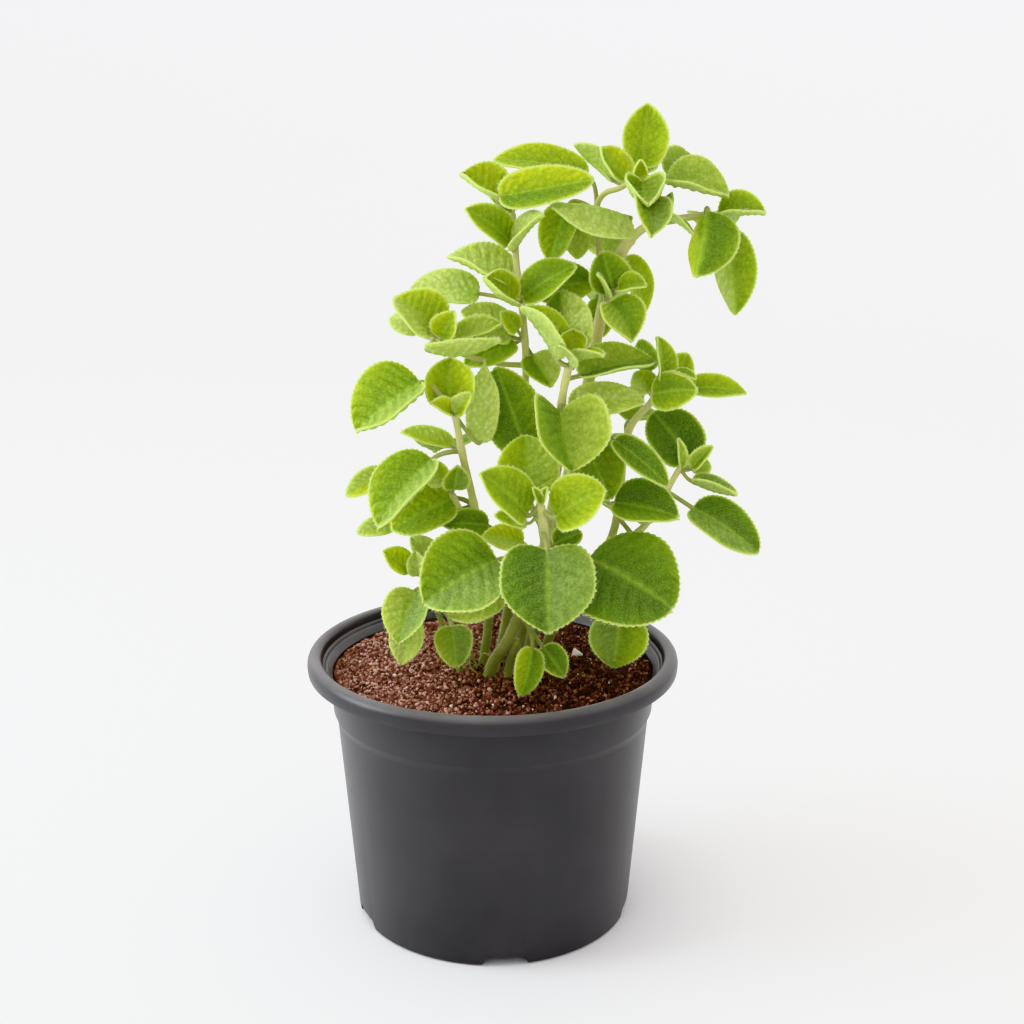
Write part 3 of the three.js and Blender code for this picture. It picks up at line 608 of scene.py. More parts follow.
# %% The tall stem, at the right
add_plant(
    "tall_stem",
    [stem([(14, 18, 92), (18, 16, 122), (30, 16, 180), (42, 14, 240), (50, 12, 285), (57, 8, 306),
           (62, 6, 313)], 6.4, 5.6),
     stem([(60, 7, 311), (67, 4, 317), (78, 2, 320), (93, 1, 322)], 4.4, 2.8),
     stem([(50, 12, 285), (48, 15, 300), (46, 16, 322), (49, 15, 330), (56, 10, 333), (63, 3, 338)], 3.4,
           2.4),
     stem([(50, 12, 278), (50, 4, 285), (50, 0, 289)], 3, 2.2)],
    at((93, 1, 322),
       leaf("olive", (98, 3, 321), (117, -2, 323), 22, (0, -1, 1.1), (38, 8), (30, 20)),
       leaf("gold/green", (91, -7, 324), (86, -18, 298), 30, (0.7, -3, 0.8), (-90, 5), (0, 15)),
       leaf("silver/olive", (99, 4, 315), (106, 2, 279), 24, (0.3, -1, 0.1), (-85, 8), (0, 10)),
       leaf("fresh", (95, 8, 322), (103, 28, 312), 24, (0, 1, 2))),
    at((78, 2, 320),
       leaf("fresh", (74, -6, 322), (85, -12, 315), 12, (0.6, 0, 1)),
       leaf("deep", (77, 5, 320), (78, 8, 331), 9, (-1, -0.6, 0))),
    at((63, 3, 338),
       leaf("lime", (65, 6, 342), (67, 11, 368), 21, (0, -1, 0.2), 14, 22, -0.04),
       leaf("fresh/misty", (64, -5, 336), (65, -20, 328), 23, (0, -1, 1.4), 0, 95, -0.15),
       leaf("gold", (63, -2, 338), (63, -5, 345), 9, (0, -1, 0.5), 5, 90, -0.1),
       leaf("gold/olive", (57, 2, 337), (47, 2, 350), 16, (0.5, -1, 0.6), curl=50, bow=-0.08),
       leaf("silver", (53, 12, 336), (36, 14, 351), 12, (1, 1.5, 0.8), 20, 20),
       leaf("misty", (75, 5, 336), (101, 0, 330), 29, (0, -1, 0.8), (30, 10), (50, -14)),
       leaf("misty", (77, 16, 338), (86, 27, 348), 16, (0.2, -1, 0.4)),
       leaf("fresh/sage", (65, -8, 329), (66, -25, 315), 20, (0.4, -1, 1), 22, 25),
       leaf("fresh", (62, 15, 338), (56, 40, 343), 26, (0, 0.6, 1))),
    at((46, 16, 323),
       leaf("lime/olive", (42, 24, 337), (1, 24, 344), 22, (0, -1, 1.4)),
       leaf("silver", (60, 11, 320), (26, -6, 326), 32, (0, -1, 1), (-42, -30), (0, 60)),
       leaf("lime/olive", (34, 20, 325), (26, 16, 301), 18, (-0.5, -1, 0)),
       leaf("silver", (38, 20, 318), (38, 18, 302), 12, (0, -1, 0)),
       leaf("silver", (60, 26, 315), (44, 29, 305), 18, (0, -1, 0.4))),
    at((50, 0, 288),
       leaf("fresh/green", (53, 1, 289), (48, 3, 306), 19, (0, -1, 0.4)),
       leaf("pale", (50, -5, 288), (45, -9, 298), 8, (1, 0, 0.4)),
       leaf("olive", (55, -3, 291), (66, -8, 293), 13, (0, -0.8, 1), 20, 20),
       leaf("misty/fresh", (50, -6, 285), (60, -14, 270), 24, (0.4, -1, 0.8), 20, 20)),
    at((52, 11, 292),
       leaf("lime", (59, 12, 303), (67, 11, 278), 18, (1, -0.9, 0), curl=10),
       leaf("misty", (47, 19, 284), (50, 21, 267), 12, (0, -1, 0)),
       leaf("fresh", (52, 20, 290), (50, 46, 278), 28, (0.2, 0.6, 1))),
    at((42, 14, 240),
       leaf("fresh", (48, 18, 240), (66, 42, 230), 28, (0.2, 0.5, 1))))

# %% The back stem
add_plant(
    "back_stem",
    [stem([(0, 14, 92), (4, 14, 122), (10, 14, 160), (14, 10, 215), (15, 8, 258), (13, 0, 285),
           (11, 3, 300), (9, 6, 324)], 5, 3),
     stem([(15, 8, 256), (2, 2, 258), (-14, -8, 264), (-24, -14, 271)], 2.8, 2.2)],
    at((9, 6, 323),
       leaf("gold", (5, 9, 328), (-13, 9, 339), 25, (0.3, -1, 1), (8, 40), (50, 20), -0.05),
       leaf("fresh/gold", (4, -1, 330), (43, -4, 337), 19, (0, -1, 0.6), 8, (20, 30), 0, point=0.1),
       leaf("fresh", (8, 15, 323), (4, 35, 328), 18, (0, 0.3, 1))),
    at((10, 5, 309),
       leaf("olive", (7, 2, 311), (-11, -4, 325), 17, (0.3, -1, 1), (30, 5), (20, 20)),
       leaf("silver", (10, -2, 308), (22, -10, 323), 18, (-0.8, -0.2, 0.6), 20)),
    at((13, 0, 285),
       leaf("silver", (7, 2, 291), (-18, 7, 304), 29, (0.3, -1, 1), (0, 42), (25, 20)),
       leaf("lime", (10, -4, 286), (-3, -16, 297), 20, (0.2, -1, 1), 8, 70, -0.08),
       leaf("fresh", (14, -3, 287), (36, -6, 301), 20, (-0.3, -1, 1)),
       leaf("silver", (-6, 6, 288), (-35, 8, 290), 18, (0, -1, 0.8)),
       leaf("olive/green", (20, 8, 288), (46, 10, 292), 24, (0, -1, 1)),
       leaf("fresh", (11, 14, 288), (1, 37, 291), 26, (0, 0.4, 1))),
    at((-24, -14, 271),
       leaf("lime/pale", (-25, -14, 273), (-41, -10, 288), 28, (0.5, -1, 1), 15, 30),
       leaf("pale", (-27, -18, 267), (3, -22, 272), 22, (0, -0.2, 1), (40, 5), (20, 5), -0.12),
       leaf("lime/gold", (-21, -17, 272), (-16, -17, 283), 14, (-0.2, -1, 0.5), 20, 30),
       leaf("pale", (-15, -12, 271), (4, -9, 277), 15, (-0.2, -1, 1), 20, 50, -0.05),
       leaf("silver", (-32, -4, 272), (-44, 4, 278), 12, (0, -1, 1))),
    at((13, 6, 268),
       leaf("silver", (8, 2, 270), (-13, 0, 281), 18, (0, -1, 0.8)),
       leaf("lime/gold", (11, -1, 273), (4, -4, 281), 9, (0, -1, 0.6)),
       leaf("olive", (10, 6, 266), (-12, 1, 257), 16, (0, -1, 0.9)),
       leaf("fresh/silver", (18, 9, 260), (26, 0, 248), 18, (0.3, -1, 0.6))),
    at((13, 12, 205),
       leaf("fresh", (18, 20, 206), (24, 48, 198), 30, (0.1, 0.5, 1))))

# %% The stem in the middle
add_plant(
    "centre_stem",
    [stem([(10, 4, 92), (12, 2, 124), (20, 0, 160), (28, -6, 205), (30, -16, 243), (33, -18, 261)], 5.2,
           3.6)],
    at((33, -18, 260),
       leaf("olive", (28, -20, 263), (13, -18, 285), 26, (1, -0.9, 0.3), (5, 62), (15, 15)),
       leaf("silver/green", (35, -12, 265), (30, -2, 290), 22, (-0.1, -1, 0.3)),
       leaf("gold", (34, -18, 264), (35, -14, 275), 18, (0, -1, 0.4), 12, 80, -0.08),
       leaf("lime", (34, -20, 262), (47, -28, 266), 14, (0, 0.1, 1), 20, 20),
       leaf("green", (34, -25, 261), (28, -31, 271), 8, (0.7, 0.2, 0.7))),
    at((32, -17, 254),
       leaf("deep/misty", (38, -14, 255), (71, -4, 259), 24, (-0.1, -0.9, 1), (30, 5), (28, 15))),
    at((30, -16, 243),
       leaf("pale/silver", (34, -16, 241), (66, -10, 243), 20, (0, -0.7, 1)),
       leaf("green/misty", (29, -22, 241), (33, -38, 218), 40, (0, -1, 1), (45, 10), (10, 12), heart=0.26),
       leaf("fresh/green", (15, -8, 221), (2, -4, 257), 26, (0, -1, 0.1), (0, -5), 0, -0.03)),
    at((29, -8, 214),
       leaf("fresh", (38, -7, 227), (52, -13, 200), 27, (0.2, -1, 0.3))))

# %% The right stem, which leans out
add_plant(
    "right_stem",
    [stem([(22, 8, 92), (24, 5, 122), (36, 2, 150), (50, -3, 172), (56, -4, 190), (60, -1, 226),
           (70, -2, 241), (75, -2, 250)], 5, 3.2),
     stem([(48, -4, 165), (57, -8, 174), (64, -10, 183), (70, -10, 190), (79, -11, 207), (83, -12, 215)], 4,
           2.6)],
    at((74, -2, 249),
       leaf("misty", (70, 6, 254), (66, 10, 267), 10, (0, -1, 0)),
       leaf("olive", (74, -4, 250), (72, -2, 270), 16, (1, -0.8, 0), 15, 20),
       leaf("lime", (79, 5, 248), (87, 8, 261), 14, (0, -1, 0.3)),
       leaf("fresh", (79, -8, 255), (88, -12, 253), 9, (0, -0.2, 1)),
       leaf("olive/fresh", (70, -10, 246), (88, -17, 249), 17, (0, -0.8, 1), (-25, 25), (10, 20)),
       leaf("olive/lime", (86, -1, 247), (112, -2, 245), 14, (0, -0.8, 1), point=0.8),
       leaf("lime/silver", (69, -3, 246), (63, 0, 254), 12, (0, -1, 0.5))),
    at((60, -1, 226),
       leaf("green", (53, -16, 227), (76, -23, 208), 14, (0.3, -1, 0.7), (10, 15)),
       leaf("lime", (62, 10, 230), (79, 33, 228), 26, (0.3, 0.3, 1))),
    at((83, -12, 213),
       leaf("deep", (87, -4, 217), (72, 6, 235), 25, (0, -1, 0.5), heart=0.12, point=0.1),
       leaf("misty", (83, -12, 214), (81, -13, 227), 6, (0.5, -1, 0), 30, 20),
       leaf("fresh/misty", (88, -13, 214), (96, -15, 224), 9, (0, -1, 1), 30, 20),
       leaf("misty", (88, -7, 212), (97, -3, 213), 10, (0, -1, 0.8)),
       leaf("sage", (88, -14, 208), (107, -18, 203), 14, (0, -0.5, 1), (55, 15), (20, 10), -0.06)),
    at((77, -11, 203),
       leaf("sage/deep", (89, -11, 195), (116, -24, 178), 23, (0.4, -1, 0.8), point=0)),
    at((63, -10, 182),
       leaf("fresh/deep", (54, -13, 198), (81, -22, 194), 26, (0, -1, 0.8), (22, 5), (30, 12))),
    at((56, -4, 190),
       leaf("green", (58, 6, 188), (72, 32, 176), 32, (0.3, 0.5, 1))))

# %% The left stem
add_plant(
    "left_stem",
    [stem([(-8, 0, 92), (-4, -2, 122), (-2, -4, 150), (-8, -8, 195), (-13, -14, 221), (-16, -17, 240)], 5,
           3.4),
     stem([(-6, -6, 178), (-12, -10, 190), (-18, -14, 204)], 3.4, 2.4)],
    at((-16, -17, 239),
       leaf("olive/misty", (-31, -14, 252), (-58, -22, 233), 38, (-0.3, -1, 0.7), (0, 15), (5, 60)),
       leaf("gold/lime", (-18, -11, 241), (-18, -7, 262), 25, (0, -1, 0.5), 5, 50),
       leaf("gold", (-18, -20, 240), (-26, -28, 246), 10, (0, -1, 0.8), 20, 30),
       leaf("gold/silver", (-15, -20, 240), (-9, -22, 249), 10, (-0.3, -1, 0.5), 20, 30),
       leaf("silver", (-5, -12, 226), (-3, -9, 261), 14, (0.1, -1, 0.1), 4, 4, 0.02, point=2.5)),
    at((-13, -14, 222),
       leaf("pale/gold", (-18, -9, 223), (-40, -2, 228), 12, (0, -0.5, 1)),
       leaf("olive/misty", (-26, -18, 219), (-49, -31, 193), 34, (-0.5, -1, 0.6), (0, 15), (5, 55)),
       leaf("fresh", (-15, 1, 221), (-27, 28, 213), 30, (-0.2, 0.5, 1))),
    at((-8, -8, 196),
       leaf("pale/gold", (-48, 3, 208), (-65, -2, 199), 12, (0, -1, 0.8)),
       leaf("lime/fresh", (-18, -9, 199), (-44, -16, 187), 26, (-0.3, -1, 0.8)),
       leaf("silver/pale", (-45, -4, 186), (-60, -10, 184), 10, (0, -1, 0.8)),
       leaf("fresh", (-16, 2, 188), (-28, 30, 176), 30, (-0.2, 0.4, 1))),
    at((-18, -14, 203),
       leaf("gold/silver", (-21, -13, 207), (-27, -12, 218), 12, (-0.3, -1, 0)),
       leaf("sage/fresh", (-17, -17, 206), (-15, -20, 217), 12, (0.3, -1, 0))),
    at((-4, -6, 180),
       leaf("green/fresh", (-2, -10, 187), (-22, -18, 190), 14, (0, -1, 0.8))))

# %% The front stem, with the largest leaves
add_plant(
    "front_stem",
    [stem([(-6, -14, 92), (-1, -18, 122), (6, -24, 137), (14, -31, 158), (22, -38, 182), (20, -41, 206)],
           6.4, 4.2),
     stem([(6, -16, 92), (7, -20, 122), (11, -25, 139)], 5, 4)],
    at((20, -41, 205),
       leaf("fresh", (20, -42, 206), (17, -43, 213), 5, (0.6, -1, 0), 30, 20),
       leaf("fresh", (21, -41, 206), (23, -43, 213), 5, (-0.6, -1, 0), 30, 20),
       leaf("olive", (14, -43, 201), (-5, -48, 220), 24, (0.3, -1, 1.2), 12),
       leaf("lime", (27, -43, 200), (47, -48, 213), 26, (-0.2, -1, 1), curl=12, point=0),
       leaf("lime", (14, -42, 197), (1, -44, 201), 9, (0, -1, 1))),
    at((21, -40, 194),
       leaf("deep/sage", (23, -46, 186), (23, -65, 156), 39, (0, -1, 0.7), 8, -8, heart=0.14, point=0.8),
       leaf("misty/lime", (16, -30, 206), (14, -20, 230), 27, (0, -1, 0.6))),
    at((20, -36, 176),
       leaf("deep/green", (42, -31, 178), (76, -52, 162), 50, (0.1, -1, 1), (-4, 0), (10, -5), point=0.1),
       leaf("fresh/sage", (2, -36, 179), (-29, -46, 163), 40, (-0.1, -1, 1), curl=(25, 15), point=0.1)),
    at((14, -31, 158),
       leaf("sage/olive", (56, -30, 152), (53, -34, 129), 26, (0, -1, 0.3), point=0.8),
       leaf("pale", (3, -27, 160), (-19, -32, 152), 20, (0, -1, 1))),
    at((18, -35, 171),
       leaf("gold/pale", (13, -27, 184), (-4, -26, 187), 13, (0, -1, 1)),
       leaf("deep/green", (27, -26, 183), (39, -22, 187), 12, (0, -1, 1))),
    at((13, -30, 152),
       leaf("lime/green", (17, -40, 140), (12, -49, 122), 13, (0.3, -1, 0.6), (10, 5)),
       leaf("green", (22, -36, 139), (31, -43, 128), 13, (0, -1, 0.7), (15, 5), (20, 10), point=0.8)))

# %% The low stem, at the front left
add_plant(
    "low_stem",
    [stem([(-12, -10, 92), (-15, -15, 122), (-19, -18, 132), (-25, -19, 152), (-32, -18, 168)], 3.6, 2.4)],
    at((-32, -18, 167),
       leaf("gold", (-37, -16, 169), (-48, -18, 178), 12, (0, -1, 1)),
       leaf("silver", (-33, -18, 167), (-34, -18, 178), 10, (0, -1, 0.3), 25, 20),
       leaf("silver", (-26, -14, 173), (-36, -14, 183), 11, (0, -1, 0.6))),
    at((-26, -19, 155),
       leaf("pale/sage", (-34, -24, 161), (-41, -38, 142), 22, (-0.2, -1, 0.7), 22),
       leaf("silver/pale", (-36, -24, 148), (-40, -34, 131), 15, (0, -1, 0.6)),
       leaf("misty/sage", (-18, -22, 144), (-16, -32, 129), 17, (0, -1, 0.6), point=0),
       leaf("fresh", (-28, -10, 156), (-36, 12, 148), 22, (-0.4, 0.3, 1))))

# %% [markdown]
# ## Leaf colour
#
# These leaves are fleshy and covered with short hairs. The flesh scatters light, the hairs give a
# velvety sheen, the veins are a little paler than the cushions between them, the margin is the
# palest part, and the underside is silvery. Young leaves in the sun are lime, old and shaded ones
# deep green, and the shade on a leaf is painted into its tone. Where the hairs catch the light, a half
# looks frosted: on the upper face this frost is partly the pale hair and partly a painted sheen, on the
# underside it is the silvery hair. So each colour word stands for a tone, from deep green at 0 to
# yellow green at 1, and for a share of frost. Light also passes through the blade, which subsurface
# scattering gives. The coats are laid over each other in turn: frost, the painted shade in grooves and
# pores, veins, the tips of the hairs and the pale rim.

# %% Leaf material
PEBBLE_MM = 1.9
PEBBLE_DEPTH_MM = 0.5
HAIR_MM = 0.55
HAIR_DEPTH_MM = 0.2
MOTTLE_MM = 7
SCATTER_MM = 2
# Each word is a tone and a share of frost. The words of the two halves also carry painted light and shade.
COLOURS = {
    "deep": (0.12, 0), "green": (0.3, 0), "fresh": (0.45, 0), "olive": (0.58, 0), "lime": (0.72, 0),
    "gold": (0.92, 0), "sage": (0.2, 0.3), "misty": (0.6, 0.3), "pale": (0.8, 0.55), "silver": (0.9, 0.9),
}

leaf_skin = new_material("velvety_leaf")
place = add_node(leaf_skin, "TexCoord").outputs["Object"]
mottle = add_node(leaf_skin, "TexNoise", {"Vector": place, "Scale": 1 / (MOTTLE_MM * MM), "Detail": 3})
mottled = add_node(leaf_skin, "MapRange", {"Value": mottle, "To Min": -0.16, "To Max": 0.16})
tone = add_node(leaf_skin, "Math", {0: read_attribute(leaf_skin, "tone"), 1: mottled}, operation="ADD")
green = add_node(leaf_skin, "ValToRGB", {"Fac": tone})
set_ramp(green, [(0, "#46681e"), (0.25, "#587c0e"), (0.5, "#7c9a0a"), (0.75, "#9cb20c"), (1, "#bcc81a")])
patchy = add_node(leaf_skin, "MapRange",
                  {"Value": mottle, "From Min": 0.35, "From Max": 0.65, "To Min": 0.65})
# Frost: partly the pale hair, partly a painted sheen where the hairs catch the light.
frost_and_sheen = add_node(leaf_skin, "Math", {0: read_attribute(leaf_skin, "frost_and_sheen"), 1: patchy},
                 operation="MULTIPLY")
pebble = add_node(leaf_skin, "TexVoronoi", {"Vector": place, "Scale": 1 / (PEBBLE_MM * MM)})
# Painted shade: the edges of the cushions and the vein grooves are darkened.
pore_shade = add_node(leaf_skin, "MapRange", {"Value": pebble, "From Min": 0.3, "From Max": 0.7, "To Max": 0.5})
crease_shade = add_node(leaf_skin, "Math", {0: pore_shade, 1: read_attribute(leaf_skin, "groove_shade")},
                  operation="MAXIMUM")
hair = add_node(leaf_skin, "TexNoise", {"Vector": place, "Scale": 1 / (HAIR_MM * MM), "Detail": 2})
tips = add_node(leaf_skin, "MapRange", {"Value": hair, "From Min": 0.4, "From Max": 0.7, "To Max": 0.26})
COATS = [
    (frost_and_sheen, "#c9db88", "MIX"), (crease_shade, "#bcc290", "MULTIPLY"),
    (read_attribute(leaf_skin, "vein"), "#a9c84e", "MIX"), (tips, "#c2d97c", "MIX"),
    (read_attribute(leaf_skin, "rim"), "#cbda78", "MIX"),
]
for share, colour, way in COATS:
    green = add_node(leaf_skin, "Mix", {"Factor": share, 6: green, 7: colour}, data_type="RGBA",
                     blend_type=way)
pebbled = add_node(leaf_skin, "Bump", {"Height": pebble, "Strength": 0.8, "Distance": PEBBLE_DEPTH_MM * MM},
                   invert=True)
velvet = add_node(leaf_skin, "Bump",
                  {"Height": hair, "Strength": 0.5, "Distance": HAIR_DEPTH_MM * MM, "Normal": pebbled})
set_shader(leaf_skin, {
    "Base Color": green, "Normal": velvet, "Roughness": 0.6, "Specular IOR Level": 0.25,
    "Subsurface Weight": 0.3, "Subsurface Radius": (0.5, 1, 0.15), "Subsurface Scale": SCATTER_MM * MM,
    "Sheen Weight": 0.3, "Sheen Roughness": 0.5, "Sheen Tint": "#c3dc84"})
print("leaf: cushions of", PEBBLE_MM, "mm,", len(COLOURS), "colour words,", len(COATS), "coats")

# %% [markdown]
# ## Stem and hair colour
#
# Young stems are pale olive and felted with hairs. Towards the coir the stems are darker and greener,
# and here and there they flush purple. The hairs themselves are clear and look cream.

# %% Stem and hair materials
FLUSH_MM = 14
FELT_MM = 0.4
FELT_DEPTH_MM = 0.2

stem_skin = new_material("felted_stem")
place = add_node(stem_skin, "TexCoord").outputs["Object"]
flush = add_node(stem_skin, "TexNoise", {"Vector": place, "Scale": 1 / (FLUSH_MM * MM), "Detail": 4})
flushed = add_node(stem_skin, "Math", {0: flush, 1: 0.6, 2: read_attribute(stem_skin, "tone")},
                   operation="MULTIPLY_ADD")
bark = add_node(stem_skin, "ValToRGB", {"Fac": flushed})
set_ramp(bark, [(0, "#6c7434"), (0.25, "#8f984c"), (0.5, "#c4c57c"), (0.75, "#cdbb94"), (1, "#9c7b69")])
felt = add_node(stem_skin, "TexNoise", {"Vector": place, "Scale": 1 / (FELT_MM * MM), "Detail": 2})
felted = add_node(stem_skin, "Bump", {"Height": felt, "Strength": 0.5, "Distance": FELT_DEPTH_MM * MM})
set_shader(stem_skin, {
    "Base Color": bark, "Normal": felted, "Roughness": 0.65, "Subsurface Weight": 0.15,
    "Subsurface Scale": 1.5 * MM, "Sheen Weight": 0.5, "Sheen Roughness": 0.4})

down_hair = new_material("plant_hair")
set_shader(down_hair, {"Base Color": "#ecf2cc", "Roughness": 0.5, "Subsurface Weight": 0.4,
                       "Subsurface Scale": 0.5 * MM})

# %% [markdown]
# ## A blank leaf
#
# One blade is modelled flat, as a grid, and then laid into every leaf of the plan. Its X runs across
# the blade, from the left margin at -1 to the right one at 1, its Y from the foot to the tip, and
# its Z is 1 on the upper face and -1 on the lower one. The columns at the margin are cut finer,
# because the scallops need more points than the rest. Small leaves get a coarser blank.

# %% Blank leaves
LARGE_LEAF = 30
MIDDLING_LEAF = 17


def select_margin(obj, accepted):
    """Selects the edges whose two ends pass the test."""
    select(obj, "EDGE", lambda edge: all(accepted(vertex.co.x) for vertex in edge.verts))


def blank_leaf(columns, rows):
    """A flat closed blade. Its two margins have three times as many points as the rest."""
    obj = new_form(bpy.ops.mesh.primitive_grid_add, x_subdivisions=columns, y_subdivisions=rows, size=2)
    select_margin(obj, lambda x: abs(x) > 0.999)
    bpy.ops.mesh.subdivide(number_cuts=2)
    for way in (1, -1):
        select_margin(obj, lambda x: x * way > 0.999)
        bpy.ops.mesh.extrude_edges_move(TRANSFORM_OT_translate={"value": (0.02 * way, 0, 0)})
    bpy.ops.mesh.select_all(action="SELECT")
    bpy.ops.mesh.extrude_region_move(TRANSFORM_OT_translate={"value": (0, 0, -1)})
    bpy.ops.mesh.select_all(action="SELECT")
    bpy.ops.mesh.normals_make_consistent(inside=False)
    bpy.ops.object.mode_set(mode="OBJECT")
    points, triangles = read_mesh(obj)
    points[:, 2] = 1 + 2 * points[:, 2]
    return points, triangles


BLANKS = [(LARGE_LEAF, blank_leaf(24, 52)), (MIDDLING_LEAF, blank_leaf(16, 34)), (0, blank_leaf(10, 20))]
print("blank leaves:", ", ".join(f"{len(blank[1])} triangles" for _, blank in BLANKS))

# %% [markdown]
# ## Laying a leaf
#
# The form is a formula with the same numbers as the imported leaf, so the fine blade follows it. On
# top of that come the scallops of the margin, the sunken veins with raised cushions between
# them, and a blade that is thick in the middle and rounded at its rim.

# %% Leaf form
EGG = 0.2
STEP_ASIDE = 1e-3


def unit(vector):
    """The same direction, one unit long."""
    return vector / np.linalg.norm(vector, axis=-1, keepdims=True)


def leaf_frame(shape):
    """The foot, axis, upper direction, way across and length of a blade."""
    foot = np.array(shape["foot"], float)
    reach = np.array(shape["tip"], float) - foot
    length = np.linalg.norm(reach)
    axis = reach / length
    face = np.array(shape["face"], float)
    face = unit(face - axis * (face @ axis))
    return foot, axis, face, np.cross(axis, face), length


def half_width(shape, turn):
    """Half the blade's width. The turn runs from 0 at the foot to pi at the tip."""
    along = (1 - np.cos(turn)) / 2
    return shape["wide"] / 2 * np.sin(turn) ** (1 + shape["point"] * along ** 2) * (1 + EGG * np.cos(turn))


def blade_point(shape, turn, side):
    """Points of the blade's middle surface."""
    foot, axis, face, across, length = leaf_frame(shape)
    along = (1 - np.cos(turn)) / 2
    out = np.abs(side)
    half = half_width(shape, turn)
    fold, curl = (np.where(side < 0, shape[bend][1], shape[bend][0]) for bend in ("fold", "curl"))
    slope = np.radians(fold + curl * out / 2)
    lobe = np.where(turn < math.pi / 2, shape["heart"] * np.sin(2 * turn) * out ** 2, 0)
    rise = shape["bow"] * length * 4 * along * (1 - along) + half * out * np.sin(slope)
    return (foot + axis * ((along - lobe) * length)[:, None] + face * rise[:, None]
            + across * (np.sign(side) * half * out * np.cos(slope))[:, None])


def difference(shape, turn, side, step_along, step_across):
    """How the blade's surface runs on from some points, in one direction."""
    return (blade_point(shape, turn + step_along, side + step_across)
            - blade_point(shape, turn - step_along, side - step_across))


def blade_normal(shape, turn, side):
    """The upper direction at points of the blade."""
    inside = np.clip(turn, 0.08, math.pi - 0.08)
    along = difference(shape, inside, side, STEP_ASIDE, 0)
    across = difference(shape, inside, side, 0, STEP_ASIDE)
    return unit(np.cross(across, along))


def way_along(points):
    """The distance of each point from the first, along the line through them all."""
    return np.concatenate([[0], np.cumsum(np.linalg.norm(np.diff(points, axis=0), axis=1))])


# %% Margin and colour of a leaf
SCALLOP_PITCH = 1.2
SCALLOP_PITCH_GROWTH = 0.035
SCALLOP_DEPTH = 0.25
SCALLOP_DEPTH_GROWTH = 0.012
FEWEST_SCALLOPS = 5
MIDRIB_BLEND = 0.35


def scallops(shape, turn, side):
    """How far each point moves for the scalloped margin."""
    steps = np.linspace(0.02, math.pi - 0.02, 200)
    distance = way_along(blade_point(shape, steps, np.full(200, 1.0)))
    pitch = SCALLOP_PITCH + SCALLOP_PITCH_GROWTH * shape["wide"]
    teeth = max(FEWEST_SCALLOPS, round(distance[-1] / pitch))
    phase = np.interp(turn, steps, distance) / distance[-1] * teeth
    bump = np.abs(np.sin(math.pi * phase)) ** 0.6 - 0.6
    depth = SCALLOP_DEPTH + SCALLOP_DEPTH_GROWTH * shape["wide"]
    edge = np.where(side < 0, -1.0, 1.0)
    tangent = unit(difference(shape, np.clip(turn, 0.05, math.pi - 0.05), edge, STEP_ASIDE, 0))
    outward = unit(np.cross(blade_normal(shape, turn, edge), tangent)) * -edge[:, None]
    return outward, depth * bump


def leaf_colour(shape, side):
    """The tone and the frost of each point, painted light and shade included. They change at the midrib,
    from one half to the other.
    """
    right, left = (np.array(COLOURS[word]) for word in shape["colour"])
    share = smooth_step(-MIDRIB_BLEND, MIDRIB_BLEND, side)[:, None]
    return (left + (right - left) * share).T


# %% Laid leaves
RIM_ROUNDING = 0.3
RIM_THICKNESS = 0.55
THICKEST_BLADE = 1.8
SHORT_LEAF = 17
VEIN_SLANT = 0.26
VEIN_WIDTH = 0.45
CUSHION_HEIGHT = 0.034
MIDRIB_DEPTH = 0.016
MARGIN_WAVE = 0.02
UNDERSIDE_FROST = 0.85


